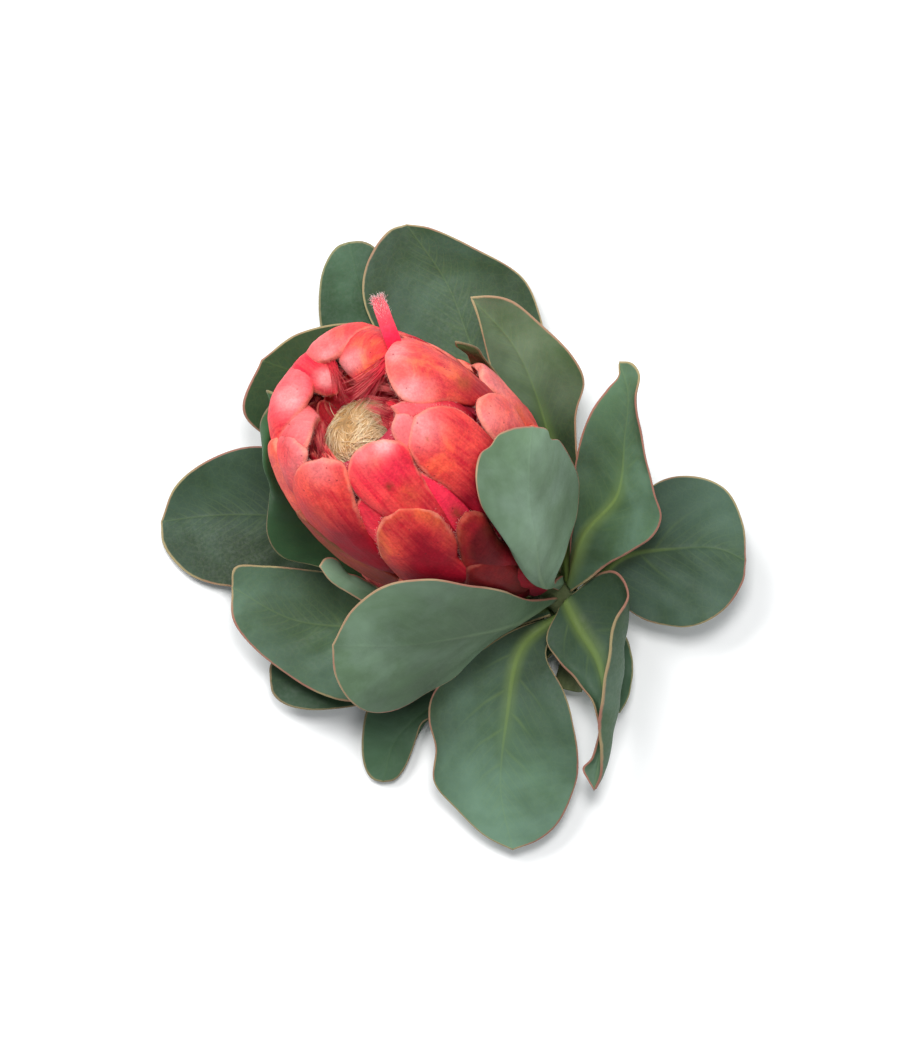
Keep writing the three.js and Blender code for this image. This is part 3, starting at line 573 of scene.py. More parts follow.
def leaf(name, tissue, grows, rib, left, right, light, cool, glow=0.3, bulge_right=(0, 0, 0), nicks=(),
         painted_shades=()):
    """One leaf through its midrib and its two margins, which grows where (mm down the stem, turn) says.

    light is painted light and shade: how far its colour is darkened or lightened at foot and tip, mostly darker
    at the foot, in the shade under the head. cool is how bluish it is at foot and tip, and glow how yellow
    round its midrib. nicks are (side, share, depth, half length) in the edge. Its shades are marks of painted
    light and shade, (x, y, reach, light) as seen from above.
    """
    down, turn = grows
    middle, along, up, level = (x[0] for x in stem_axes(np.array([down / stem_line.length])))
    outward = up * math.cos(math.radians(turn)) + level * math.sin(math.radians(turn))
    foot = middle + outward * (STEM_RADIUS + SEAT_GAP + FOOT_CLEARANCE)
    across = unit(np.cross(outward, along))
    side = 1 if np.dot(np.subtract(left[0], right[0]), across) > 0 else -1
    rib_line = smooth_line([foot, *rib])
    left_line = smooth_line([foot + across * side * LEAF_FOOT, *left, rib[-1]])
    right_line = smooth_line([foot - across * side * LEAF_FOOT, *right, rib[-1]])

    s = np.linspace(-1, 1, LEAF_COLUMNS)
    v = (s - 0.1 * np.sin(2 * math.pi * s))[None, :]
    u = np.linspace(0, 1, LEAF_ROWS)[:, None]
    ribs, lefts, rights = (line(u[:, 0])[:, None, :] for line in (rib_line, left_line, right_line))
    half = (rights - lefts) / 2
    arch = (rights + lefts) / 2 - ribs
    reach = np.linalg.norm(half, axis=-1)
    pull = np.ones_like(u * v)
    for edge, at, depth, spread in nicks:
        inside = np.where(v * edge > 0, np.abs(v), 0) ** 2
        dent = np.exp(-(((u - at) * rib_line.length / spread) ** 2))
        pull -= inside * dent * depth / np.maximum(reach, 2)
    w = (v * pull)[..., None]
    folded = np.where(w > 0, 4 * w * (1 - w), 0) * np.sin(math.pi * u)[..., None]
    blade = ribs + half * w + arch * w**2 + np.asarray(bulge_right) * folded

    lengthways, sideways = (np.gradient(blade, axis=axis) for axis in (0, 1))
    for slope in (lengthways, sideways):
        slope[-1] = slope[-3]
    normal = unit(np.cross(lengthways, sideways))
    flat = 0 * (u + v)
    along_mm = u * rib_line.length + flat
    across_mm = w[..., 0] * reach
    aside_mm = np.abs(across_mm)
    vein_phase = (along_mm - VEIN_SLOPE * aside_mm - VEIN_CURVE * aside_mm**2) / VEIN_SPACING
    vein_phase += (v > 0) * VEIN_STAGGER
    to_tip = np.sin(math.pi * u)
    pucker = QUILT * np.cos(2 * math.pi * vein_phase) * (to_tip * np.sin(math.pi * np.abs(v) ** 0.8))
    ripple = EDGE_WAVE * v**4 * np.sin(2 * math.pi * EDGE_WAVES * u + v) * to_tip
    ripple = ripple + 0.25 * EDGE_WAVE * v**6 * np.sin(2 * math.pi * EDGE_WAVES * 2.7 * u + 2 * v) * to_tip
    ridge = np.exp(-((aside_mm / (0.4 + 1.1 * (1 - u))) ** 2)) * (1 - u) ** 0.7
    thickness = LEAF_EDGE * (1 - 0.25 * v**8) + 0.75 * LEAF_RIB * (1 - u) ** 1.5 * (1 - v**2) ** 2
    core = blade + (ripple + pucker)[..., None] * normal
    front = core + (thickness / 2 + 0.25 * ridge)[..., None] * normal
    back = core - (thickness / 2 + 0.45 * ridge)[..., None] * normal
    for face, lowest in ((front, 0), (back, 0), (core, BEAD_RADIUS)):
        face[-1] = face[-1, LEAF_COLUMNS // 2]
        face[..., 2] = np.maximum(face[..., 2], lowest)

    # painted light and shade: darker or lighter along the leaf from foot to tip, and at the marked places
    painted_light = light[0] + (light[1] - light[0]) * u + flat
    for x, y, spread, amount in painted_shades:
        away = np.hypot(front[..., 0] - x, front[..., 1] - y) / spread
        painted_light = painted_light + amount * np.exp(-away**2)
    tone = np.stack([np.maximum(painted_light, 0.05), cool[0] + (cool[1] - cool[0]) * u + flat, glow + flat], -1)

    count = LEAF_ROWS * LEAF_COLUMNS
    rim_row = np.concatenate([np.arange(LEAF_ROWS), np.arange(LEAF_ROWS - 2, -1, -1)])
    rim_column = np.array([0] * LEAF_ROWS + [LEAF_COLUMNS - 1] * (LEAF_ROWS - 1))

    def for_all(values):
        """A grid's values for its front, its back and the rim line."""
        grid = values.reshape(count, *values.shape[2:])
        return np.concatenate([grid, grid, values[rim_row, rim_column]])

    marks = for_all(np.stack([along_mm, across_mm, (1 - np.abs(w[..., 0])) * reach], -1))
    marks[2 * count:, 2] = 0
    share = for_all(u + flat)
    rim_share = share[2 * count:]
    swell = 0.85 + 0.2 * np.sin(rim_share * 37 + len(name)) * np.sin(rim_share * 11)
    swell *= np.clip(rim_share * 12, 0.4, 1)
    corners = np.concatenate([front.reshape(-1, 3), back.reshape(-1, 3), core[rim_row, rim_column]])
    rim_edges = [(k, k + 1) for k in range(2 * count, len(corners) - 1)]
    bead = np.concatenate([np.zeros(2 * count), swell])
    piece = make_piece(name, corners, shell_faces(LEAF_ROWS, LEAF_COLUMNS), edges=rim_edges,
                       attributes={"blade": marks, "share": share, "bead": bead, "tone": for_all(tone)})
    is_rim = piece.data.attributes.new("rim", "BOOLEAN", "EDGE")
    ends = np.zeros(len(piece.data.edges) * 2, np.int32)
    piece.data.edges.foreach_get("vertices", ends)
    is_rim.data.foreach_set("value", (ends.reshape(-1, 2).min(1) >= 2 * count).tolist())
    grown(piece, MARGIN_TREE, Bead_Radius=BEAD_RADIUS / 1000, Bead_Sides=7, Leaf_Tissue=LEAF_TISSUES[tissue])
    belongs(piece, name.removesuffix("_blade"))


# In each leaf below, light is painted light and shade, the foot darker in the shade under the head, and shades
# are painted light and shade at marked places.
leaf("leaf_top_blade", "green", (15, 140),
     rib=[(28, 12, 10), (20, 38, 7), (8, 63, 3.6), (-1, 86, 0.2), (-14.5, 105.8, 1.6)],
     left=[(18, 10, 8), (0, 36, 7), (-17, 58, 6), (-28.7, 79, 4.5), (-28, 92, 3.4), (-20.5, 103.5, 2.2)],
     right=[(38, 14, 11), (36, 40, 11), (32.5, 66, 8.5), (25, 87, 5), (7, 98.2, 3.4), (-7, 104.6, 2.2)],
     light=(0.42, 0.66), cool=(0.1, 0.35), glow=0.4)

leaf("leaf_top_left_blade", "dark", (22, 175),
     rib=[(14, 10, 3.6), (-8, 46, 2.8), (-28, 78, 1.6), (-34, 99.8, 1.8)],
     left=[(3, 6, 4), (-22, 36, 4), (-42, 66, 3.4), (-43.5, 86, 3), (-41, 94, 2.6), (-37.6, 98.4, 2.2)],
     right=[(17, 16, 3.4), (2, 46, 2.4), (-18, 74, 1.2), (-22, 90, 1.2), (-25.5, 98, 1.5), (-29.5, 100, 1.6)],
     light=(0.75, 1.1), cool=(0.05, 0.4))

leaf("leaf_upper_left_blade", "green", (9, 180),
     rib=[(6, 10, 9), (-20, 34, 15), (-43, 52, 24), (-63, 60, 33)],
     left=[(-2, 2, 9), (-34, 16, 18), (-58, 32, 28), (-69, 43, 34)],
     right=[(14, 18, 9.5), (-2, 50, 13), (-24, 71, 22), (-50, 69, 30)],
     light=(0.45, 0.7), cool=(-0.1, -0.1))

leaf("leaf_left_cup_blade", "dark", (5, 215),
     rib=[hug(40, 222, 6), hug(70, 224, 7.5), hug(100, 228, 9), (-57, 48, 64)],
     left=[(-4, -17, 23), (-30, -14, 25), (-44, -9, 28), (-56, -6, 31), (-61, 2, 36), (-59, 20, 46),
           (-63, 39, 57)],
     right=[hug(25, 205, 5.5), hug(60, 195, 6), hug(95, 197, 6), hug(118, 205, 8)],
     light=(1.3, 1.6), cool=(-0.5, -0.4), glow=0.45)

leaf("leaf_left_blade", "green", (18, 230),
     rib=[(0, -8, 6), (-35, 3, 5), (-60, 8, 3.5), (-81, 8, -0.15), (-97, 6, 1.6)],
     left=[(-4, 0, 6.5), (-38, 22, 8), (-63, 31, 7), (-80, 27, 5), (-92, 18, 3)],
     right=[(0, -18, 6), (-40, -13, 6.5), (-70, -16, 6), (-87, -12, 4), (-96, -2, 2.6)],
     light=(0.26, 0.5), cool=(0, 0.3), glow=0.25)

leaf("leaf_lower_left_blade", "green", (12, 262),
     rib=[(10, -26, 13), (-22, -29, 16), (-52, -27, 19), (-73, -16, 22)],
     left=[(6, -18, 13), (-22, -14, 17), (-46, -10.5, 19), (-62, -9, 21), (-72, -9.5, 23)],
     right=[(10, -34, 14), (-14, -48, 17), (-34, -54, 19), (-56, -44, 21), (-72, -28, 23)],
     light=(0.6, 0.95), cool=(0.25, 0.55), glow=0.1)

leaf("leaf_front_lower_blade", "pale", (5, 325),
     rib=[(21, -28, 44), (4, -32, 60), (-18, -35, 68), (-39, -35, 72)],
     left=[(26, -20, 44), (16, -17, 71), (-7, -13, 87), (-22, -16, 86), (-32.5, -23.5, 79)],
     right=[(22, -28, 38), (13, -33, 41), (3.5, -43, 44), (-8, -51, 48), (-18, -57, 51), (-26, -57.5, 54),
            (-33, -53.5, 60), (-38, -45, 66)],
     light=(0.72, 0.86), cool=(-0.1, 0.1), glow=0.1,
     painted_shades=((-24, -56, 7, -0.22), (-6, -50, 6, -0.2)))

leaf("leaf_small_front_blade", "pale", (3, 278),
     rib=[(14, -26, 31), (-6, -26, 41), (-25, -18.5, 51), (-36, -12.5, 55), (-43.4, -8.8, 57)],
     left=[(16, -22.5, 31), (-4, -24, 41), (-19.5, -18.6, 50), (-26, -15, 52.5), (-31, -12.2, 53.5),
           (-34.7, -11, 54), (-38, -6.6, 55), (-41.5, -6.3, 56)],
     right=[(12, -30, 31), (-8, -30, 41), (-25, -22.5, 49.5), (-33, -18, 53), (-40, -13.4, 56)],
     light=(0.68, 0.86), cool=(-0.1, 0.1))

leaf("leaf_lower_dark_blade", "dark", (31, 270),
     rib=[(22, -42, 5), (0, -52, 4), (-18, -67, 3.4), (-22.5, -81.4, 3)],
     left=[(20, -36, 6), (-6, -43, 6), (-26, -54, 5), (-29.3, -66, 4.4), (-28.6, -76, 3.6),
           (-26, -80.3, 3.2)],
     right=[(22, -48, 4.5), (6, -56, 4), (-9, -61, 4), (-12, -69, 4), (-15.5, -77, 3.4), (-18.8, -80.6, 3.2)],
     light=(1.0, 1.25), cool=(0.5, 0.7))

leaf("leaf_lower_left_back_blade", "dark", (24, 250),
     rib=[(12, -30, 9), (-18, -40, 10), (-45, -46, 10.5), (-60.2, -47.5, 11)],
     left=[(12, -22, 9), (-18, -28, 10), (-44, -34, 11), (-56, -37.5, 11.5), (-60, -42, 11.4)],
     right=[(12, -36, 9), (-10, -50, 10), (-31, -55.5, 11), (-47, -57, 11.5), (-55.5, -55, 11.5),
            (-59.3, -51.5, 11.3)],
     light=(0.6, 0.8), cool=(0.1, 0.3))

leaf("leaf_bottom_blade", "green", (13, 318),
     rib=[(24, -36, 17.5), (19, -60, 16), (17, -84, 12), (21, -104, 8)],
     left=[(18, -32, 20), (-5, -51, 20), (-7, -60, 19), (-4.8, -70, 18), (-5.3, -81, 16), (2, -90, 12.5),
           (12, -99.5, 9.5)],
     right=[(32, -38, 17), (38, -51, 17), (41.3, -62, 17), (42.8, -76, 15), (41.3, -84, 13),
            (35.7, -95.5, 10), (29, -101, 9)],
     light=(0.42, 1.06), cool=(-0.05, 0.9), glow=0.75, painted_shades=((33, -77, 13, 0.2), (27, -50, 7, -0.05)))

leaf("leaf_lower_right_blade", "green", (9, 5),
     rib=[(42, -28, 24), (50, -42, 24), (52, -60, 23), (48.3, -84, 20)],
     left=[(32.5, -34.5, 23), (42.5, -46.5, 24), (48, -56.5, 24), (50, -66, 22.6), (47.6, -73.4, 21.5),
           (44.6, -76.6, 21), (46, -80, 20.6)],
     right=[(49, -12, 27), (55, -11, 33), (59.3, -18.5, 38), (55.7, -26.5, 40), (53.5, -37.5, 40),
            (50.8, -49, 38.5), (49.8, -61, 35), (50.8, -71.5, 29), (50.3, -79, 24)],
     bulge_right=(4.5, 0, -3),
     light=(0.52, 0.85), cool=(0.1, 0.45), glow=0.65)

leaf("leaf_dark_lower_right_blade", "dark", (28, 108),
     rib=[(53, -40, 8), (56, -50, 9), (57, -58, 9.5)],
     left=[(57, -30, 8), (61, -40, 9), (60, -52, 9.5)],
     right=[(50.5, -44, 8), (51, -52, 8.5), (53, -58, 9)],
     light=(0.7, 0.9), cool=(0, 0.3))

leaf("leaf_right_blade", "green", (15, 75),
     rib=[(58, -6, 18), (75, -3, 20), (90, -3, 22), (99, -7, 23)],
     left=[(55, 4, 22), (68, 18, 24), (80, 21, 25), (92, 17, 25), (98, 5, 24)],
     right=[(54, -20, 15), (66, -27, 16), (80, -29, 18), (91, -24, 20), (98, -14, 22)],
     light=(0.3, 0.54), cool=(0.3, 0.7), glow=0.3)

leaf("leaf_upper_right_blade", "green", (8, 66),
     rib=[(45, 2, 34), (56, 15, 41), (58.5, 34, 47), (59.5, 49, 51), (56.5, 59.3, 52)],
     left=[(41, 6, 36), (42.3, 27, 42), (46.7, 41.7, 47), (52.5, 50, 50), (56.3, 54.5, 51.5)],
     right=[(46, -13.5, 29), (53, -8, 33), (61, -3.4, 37.5), (67.5, 1.2, 41), (70, 7, 44), (68.2, 15, 47.5),
            (65.3, 29.5, 51.5), (62, 42, 54), (61.5, 48, 54.8), (63, 55, 54.2), (60.5, 58.8, 53)],
     light=(0.95, 1.34), cool=(0.35, 0.6), glow=0.8,
     painted_shades=((45, 27, 9, -0.35), (63, 20, 11, 0.3), (56, 4, 8, 0.15), (46, -6, 6, -0.2)))

leaf("leaf_upper_middle_blade", "bronze", (10, 108),
     rib=[(38, 8, 19), (33, 36, 24), (22, 64, 33), (7, 81, 38)],
     left=[(32, 6, 14), (24, 30, 18), (14, 57, 30), (9, 76, 38)],
     right=[(44, 12, 24), (41.5, 40, 30.5), (44.8, 53, 34), (41, 61.5, 36), (31.5, 70.5, 38),
            (20.5, 79.5, 40), (14, 81.3, 39.5)],
     light=(0.6, 0.9), cool=(-0.1, 0.4), glow=1.0,
     painted_shades=((27, 66, 12, 0.3), (16, 62, 7, -0.2), (42, 34, 6, -0.25)))

leaf("leaf_front_right_blade", "pale", (3, 35),
     rib=[(30, -14, 62), (28, -2, 80), (26, 12, 88), (26, 26, 90), (27, 37.5, 85)],
     left=[(27, -12, 66), (19, -1.5, 86), (10.3, 12, 100), (8.4, 23, 103), (12, 32, 99), (20.5, 36.6, 92)],
     right=[(34.5, -13, 50), (40, -1, 55.5), (42.3, 12, 58), (41.3, 23, 62), (37.8, 31, 70), (33, 36.3, 78)],
     light=(0.88, 0.96), cool=(0.15, 0.4), glow=0.1,
     nicks=((-1, 0.84, 1.3, 3), (1, 0.88, 1.6, 3)))

leaf("leaf_behind_small_blade", "dark", (4, 122),
     rib=[hug(30, 118, 4.4), hug(60, 113, 3.8), hug(82, 104, 3.4), hug(94, 92, 3.2), hug(101, 89.5, 3.4)],
     left=[hug(30, 130, 4), hug(60, 126, 3.8), hug(82, 110, 3.2), hug(94, 95, 1.8), hug(99, 91, 2.2)],
     right=[hug(30, 106, 4.6), hug(58, 104, 3.8), hug(78, 100, 3.6), hug(87, 93, 3.8), hug(93, 89, 5.4),
            hug(98, 88.5, 4.6)],
     light=(2.2, 3), cool=(-0.4, -0.4))

# The receptacle: the solid woody middle of the head that every bract and floret grows from.
# Only the wall of the cup between the inner bracts and the florets shows, dark crimson and silky with hairs.
CORE_DEPTH = 3.4  # how far it lies under the head's outline
CORE_FOOT_RADIUS = 6.5
CORE_SHARE = 0.85  # how far it follows that outline
CORE_ROWS = 60
CUP_FLOOR = 84.0
CUP_RIM = 107.0
CUP_FLOOR_RADIUS = 19.0
CUP_RIM_RADIUS = 24.0
CORE_SIDES = 96


def turned(outline, sides):
    """A solid of revolution from (height, radius) rows: corners as (height, up, level), and faces."""
    corners = []
    for height, radius in outline[1:-1]:
        for angle in np.linspace(0, 2 * math.pi, sides, endpoint=False):
            corners.append((height, radius * math.cos(angle), radius * math.sin(angle)))
    faces = grid_faces(len(outline) - 2, sides, closed=True)
    for pole, ring, turned_in in ((outline[0], 0, True), (outline[-1], len(outline) - 3, False)):
        corners.append((pole[0], 0, 0))
        for j in range(sides):
            k = (j + 1) % sides
            wedge = (ring * sides + j, ring * sides + k, len(corners) - 1)
            faces.append(wedge[::-1] if turned_in else wedge)
    return np.array(corners), faces


core_outline = [(0, 0)]
for share in np.linspace(0, 1, CORE_ROWS):
    height, radius = head_line(share)
    if height < CUP_RIM and share < CORE_SHARE:
        core_outline.append((height, max(radius - CORE_DEPTH, CORE_FOOT_RADIUS)))
core_outline += [(CUP_RIM, CUP_RIM_RADIUS), (CUP_RIM - 8, CUP_RIM_RADIUS - 2.5),
                 (CUP_FLOOR + 4, CUP_FLOOR_RADIUS), (CUP_FLOOR, CUP_FLOOR_RADIUS - 3), (CUP_FLOOR, 0)]
core_corners, core_faces = turned(core_outline, CORE_SIDES)

cup_wall = Finish("cup_wall")
cup_mottle = cup_wall.noise(260, 4, 0.6)
cup_wall.look(Base_Color=cup_wall.blend(cup_mottle, (0.26, 0.006, 0.022), (0.6, 0.025, 0.06)), Roughness=0.8)
cup_wall.bump(cup_mottle, 0.6, 0.0006)

receptacle = make_piece("receptacle", in_head(*core_corners.T[..., None]), core_faces,
                        material=cup_wall.material)
belongs(receptacle, "bloom_bracts")

# The bracts: fleshy coral scales in overlapping rows, each broad and rounded at its free tip. They are
# velvety, with painted pink highlights where light falls, orange at the rim and crimson towards the root,
# where they are grown on the receptacle and where the crimson is partly painted shade. The inner ones curl in
# over the opening.
BRACT_THICK = 1.9
BRACT_ROOT_THICK = 3.2
BRACT_EDGE = 1.3
BRACT_PLUMP = 2.5
BRACT_ROWS = 34
BRACT_COLUMNS = 29
TURN_TO_MM = 0.5  # evens out the two directions of an outline before it is smoothed
RIM_SAMPLES = 420


def bract(seed, minus, plus, tip, foot=-1.8, lift=1.4, plump=BRACT_PLUMP, thick=BRACT_THICK, line=head_line,
          warm=0.3, deep=0.0, pale=0.0, stain=0.0, rust=0.0, dent=0.3, wrinkle=0.0, touches=()):
    """One bract between two edges of (arc, turn) points from its root to its tip.

    foot and lift are the heights of its root and tip over the head. warm, deep, pale and stain are its shares
    of orange (or rose, below nothing), crimson, pink and brown, and rust browns its rim. The crimson is partly
    painted shade, growing towards the root and nearly black past its full share, and the pink partly painted
    highlight. touches are marks (x, y, reach, kind, amount) as seen from above.
    """
    draw = np.random.default_rng(seed)
    spread = np.array([1, TURN_TO_MM])
    sides = [smooth_line([*(np.array(point) * spread for point in side), np.array(tip) * spread])
             for side in (minus, plus)]
    u = np.sin(np.linspace(0, 1, BRACT_ROWS) ** 0.85 * math.pi / 2)
    v = np.linspace(-1, 1, BRACT_COLUMNS)
    v = 0.5 * v + 0.5 * np.sin(v * math.pi / 2)
    first, last = (side(u)[:, None, :] / spread for side in sides)
    grid = first + (last - first) * (v[None, :, None] + 1) / 2
    arc, turn = grid[..., 0], grid[..., 1]
    u, v = u[:, None] + 0 * v[None, :], v[None, :] + 0 * u[:, None]
    radius = np.maximum(line(arc / line.length)[..., 1], 14)
    across = np.radians(turn - np.mean([minus[0][1], plus[0][1]])) * radius
    rim_across = np.concatenate([across[:, 0], across[::-1, -1]])
    rim_arc = np.concatenate([arc[:, 0], arc[::-1, -1]])
    fine = np.linspace(0, len(rim_arc) - 1, RIM_SAMPLES)
    rim_across = np.interp(fine, np.arange(len(rim_arc)), rim_across)
    rim_arc = np.interp(fine, np.arange(len(rim_arc)), rim_arc)
    from_edge = np.sqrt(((across[..., None] - rim_across) ** 2 + (arc[..., None] - rim_arc) ** 2).min(-1))
    root_arc = np.mean([minus[0][0], plus[0][0]])
    risen = np.clip((arc - root_arc) / (arc.max() - root_arc), 0, 1)
    swell = (1 - np.abs(v) ** 2.2) * np.sqrt(1 - u**6)
    swell *= 0.45 + 0.55 * np.sin(math.pi * np.minimum(risen, 0.5))
    phases = draw.uniform(0, 2 * math.pi, 14)
    streaks = np.zeros_like(arc)
    for k in range(3):
        bend = 1.5 * np.sin(0.09 * arc + phases[k + 3])
        streaks += 0.03 * np.sin((1.5 + 0.8 * k) * across + phases[k] + bend)
    hollows = dent * np.sin(0.16 * arc + phases[6] + 0.1 * across) * np.sin(0.25 * across + phases[7])
    hollows += 0.35 * dent * np.sin(0.42 * arc + phases[8]) * np.sin(0.62 * across + phases[9])
    creases = np.sin(2.1 * arc + 0.9 * np.sin(0.5 * across + phases[10]))
    hollows += 0.12 * wrinkle * creases * np.sin(0.4 * across)
    crown = foot + (lift - foot) * risen + plump * swell + (streaks + hollows) * np.clip(from_edge / 2, 0, 1)
    round_edge = np.sqrt(1 - np.clip(1 - from_edge / BRACT_EDGE, 0, 1) ** 2)
    front = on_head(arc, turn, crown - thick / 2 + thick / 2 * round_edge, line)
    below = thick / 2 + (BRACT_ROOT_THICK - thick) * (1 - risen)
    back = on_head(arc, turn, crown - thick / 2 - below * round_edge, line)
    corners = np.concatenate([front.reshape(-1, 3), back.reshape(-1, 3)])
    # Crimson grows towards the root, partly the bract's own colour and partly painted shade under the row
    # above; pink grows towards the tip, partly its own paler tip and partly painted highlight.
    shares = {"warm": warm + 0 * arc, "deep": deep + 1.1 * np.clip(0.6 - risen, 0, 1) / 0.5,
              "pale": pale * np.clip(1.6 * risen - 0.5, 0, 1), "stain": stain + 0 * arc}
    rusty = rust * np.clip(1 - from_edge / 5, 0, 1) * np.clip(2 * risen - 0.4, 0, 1)
    shares["warm"] = shares["warm"] + 0.9 * rusty
    shares["stain"] = shares["stain"] + 0.5 * rusty
    for x, y, reach, kind, amount in touches:
        away = np.hypot(front[..., 0] - x, front[..., 1] - y) / reach
        shares[kind] = shares[kind] + amount * np.exp(-away**2)
    tint = np.stack([shares["warm"], shares["deep"], shares["pale"]], -1).reshape(-1, 3)
    marks = np.stack([risen, across, from_edge], -1).reshape(-1, 3)
    return {"corners": corners, "faces": shell_faces(*arc.shape), "bract": np.tile(marks, (2, 1)),
            "tint": np.tile(tint, (2, 1)), "stain": np.tile(shares["stain"].ravel(), 2), "front": front,
            "risen": risen}


def joined(name, parts, labels, material):
    """One piece from several shells."""
    starts = np.cumsum([0] + [len(part["corners"]) for part in parts])
    faces = [tuple(start + index for index in face)
             for start, part in zip(starts, parts) for face in part["faces"]]
    return make_piece(name, np.concatenate([part["corners"] for part in parts]), faces, material=material,
                      attributes={label: np.concatenate([part[label] for part in parts]) for label in labels})


def bract_finish():
    """Velvety skin: coral mottled with orange, crimson at its root in part as painted shade, painted pink
    highlights, peach at its rim, finely specked.
    """
    skin = Finish("bract_skin")
    risen, across, from_edge = skin.facts("bract")
    warm, deep, pale = skin.facts("tint")
    stain = skin.fact("stain")
    mottle = skin.noise(110, 6, 0.65, distortion=0.8)
    broad = skin.noise(48, 3, 0.5)
    grain = skin.noise(1200, 3, 0.6)
    streak_place = skin.node("ShaderNodeCombineXYZ", X=across * 0.8, Y=risen * 2.2, Z=broad * 2.0).outputs[0]
    streak = skin.noise(1.0, 4, 0.65, at=streak_place)
    rim = skin.ramp(from_edge + skin.noise(260, 2) * 1.6, 2.0, 0.8)
    rim = rim * skin.ramp(risen, 0.3, 0.7, 0.0, 0.5) * skin.ramp(deep, 0.9, 0.2, 0.25, 1.0)
    speck = skin.ramp(skin.cells("F1", 380.0), 0.17, 0.06)
    speck *= skin.calc("GREATER_THAN", skin.noise(190, 1), 0.55)

    def some(share, strength):
        return skin.calc("MULTIPLY", share, strength, clamp=True)

    color = skin.blend(skin.ramp(streak, 0.3, 0.7), (0.68, 0.018, 0.04), (0.82, 0.068, 0.066))
    for share, tone in (
        (some(warm, skin.ramp(mottle, 0.3, 0.75)), (0.83, 0.14, 0.05)),
        (some(warm, -1.0), (0.84, 0.026, 0.075)),
        # painted highlight: pale pink, partly the paler tips' own colour
        (some(pale, skin.ramp(broad, 0.3, 0.65, 0.15, 1.0)), (0.88, 0.29, 0.29)),
        # crimson, partly the skin's own and partly painted shade
        (some(deep, skin.ramp(streak, 0.2, 0.75, 1.0, 0.7)), (0.3, 0.006, 0.018)),
        # painted shade: nearly black where the crimson share runs past its full, at the roots and in shadow
        (skin.ramp(deep, 1.5, 2.7, 0.0, 0.85), (0.085, 0.003, 0.008)),
        (some(stain, skin.ramp(mottle, 0.3, 0.55, 0.4, 1.0)), (0.13, 0.045, 0.012)),
        (rim, (0.87, 0.32, 0.22)),
        (speck * 0.65, (0.13, 0.012, 0.02)),
    ):
        color = skin.blend(share, color, tone)
    value = skin.ramp(grain, 0.3, 0.7, 0.86, 1.1) * skin.ramp(mottle, 0.3, 0.7, 0.8, 1.12)
    skin.look(Base_Color=skin.dimmed(color, value), Roughness=skin.ramp(mottle, 0.3, 0.7, 0.46, 0.6),
              Specular_IOR_Level=0.09, Specular_Tint=(1.0, 0.55, 0.55), Subsurface_Weight=0.08,
              Subsurface_Radius=(1.0, 0.2, 0.15), Subsurface_Scale=0.0012)
    skin.bump(streak * 0.7 + grain * 0.3, 0.35, 0.0006)
    return skin.material


BRACT_SKIN = bract_finish()
BRACT_MARKS = ("bract", "tint", "stain")

# Bracts of the lower rows that show. In their touches, pale marks are painted highlights and deep marks are
# crimson, in part painted shade.
lower_bracts = [
    bract(1, [(20, -70), (45, -72), (60, -68)], [(20, -34), (45, -32), (60, -38)], (69, -54), warm=0.9,
          deep=0.6, rust=0.8),
    # The next two lie in the shadow of the leaf beside them: a crimson share past its full paints that shade
    # nearly black.
    bract(2, [(18, -34), (48, -36), (57, -27), (61, -20)], [(18, 2), (38.5, -2), (50.5, -5), (57, -9)],
          (60.5, -15), foot=-1.4, warm=0.1, deep=2.3, stain=0.15, rust=0.15),
    bract(3, [(18, 8), (40, 6), (54, 10)], [(18, 44), (40, 44), (54, 38)], (62, 25), warm=0.2, deep=2.2),
    bract(4, [(20, 44), (44, 40), (60, 46)], [(20, 80), (44, 84), (60, 78)], (68, 62), warm=0.6, deep=0.3),
    # Its crimson touches paint the shade it lies in.
    bract(5, [(36, -14), (57, -25), (66, -19), (73.5, -13), (78, -7)], [(36, 20), (56.5, 1), (65.5, 3),
          (72.5, 5), (77, 2)], (79, -1), lift=1.2, warm=0.45, deep=0.8, stain=0.1, rust=0.7,
          touches=[(13, 1, 6, "deep", 1.8), (10, -5, 6, "deep", 1.3), (14, -4, 7, "deep", 0.8)]),
    bract(6, [(46, 62), (66, 66), (78.5, 72), (86, 69), (90, 70), (91.5, 74)], [(46, 104), (70, 106),
          (86, 98)], (89.5, 83), lift=0.8, warm=0.9, pale=0.9, touches=[(22, 42, 2.5, "stain", 0.5)]),
    bract(7, [(58, 40), (80, 39), (86, 39), (92, 42), (95, 47), (95, 53)], [(58, 66), (68.5, 66),
          (72.5, 70), (77.5, 72), (86, 67)], (92, 59), foot=-1.2, lift=1.4, warm=0.7, pale=0.8),
    bract(8, [(48, -108), (70, -114), (88, -112), (97, -104)], [(48, -56), (70, -58), (88, -68), (97, -80)],
          (101, -91), foot=-1.3, lift=2.3, plump=1.75, warm=0.9, deep=0.6, stain=0.45, rust=0.9,
          touches=[(-40, -2, 7, "stain", 0.3)]),
    # Its lower crimson touch paints the shade on its down-turned side.
    bract(9, [(52, -50), (61.5, -58), (71, -56), (80.5, -53), (88, -47), (93.5, -41), (97, -33)], [(52, -8),
          (64, -22), (71.5, -15), (79.5, -12), (87.5, -11), (93.5, -14)], (98.5, -22), foot=-0.6, lift=1.7,
          plump=3.0, warm=0.35, rust=0.9, touches=[(-11, 1, 7, "deep", 0.7), (-7, -9, 9, "deep", 1.3),
          (-20, -3, 4, "warm", 0.5)]),
]
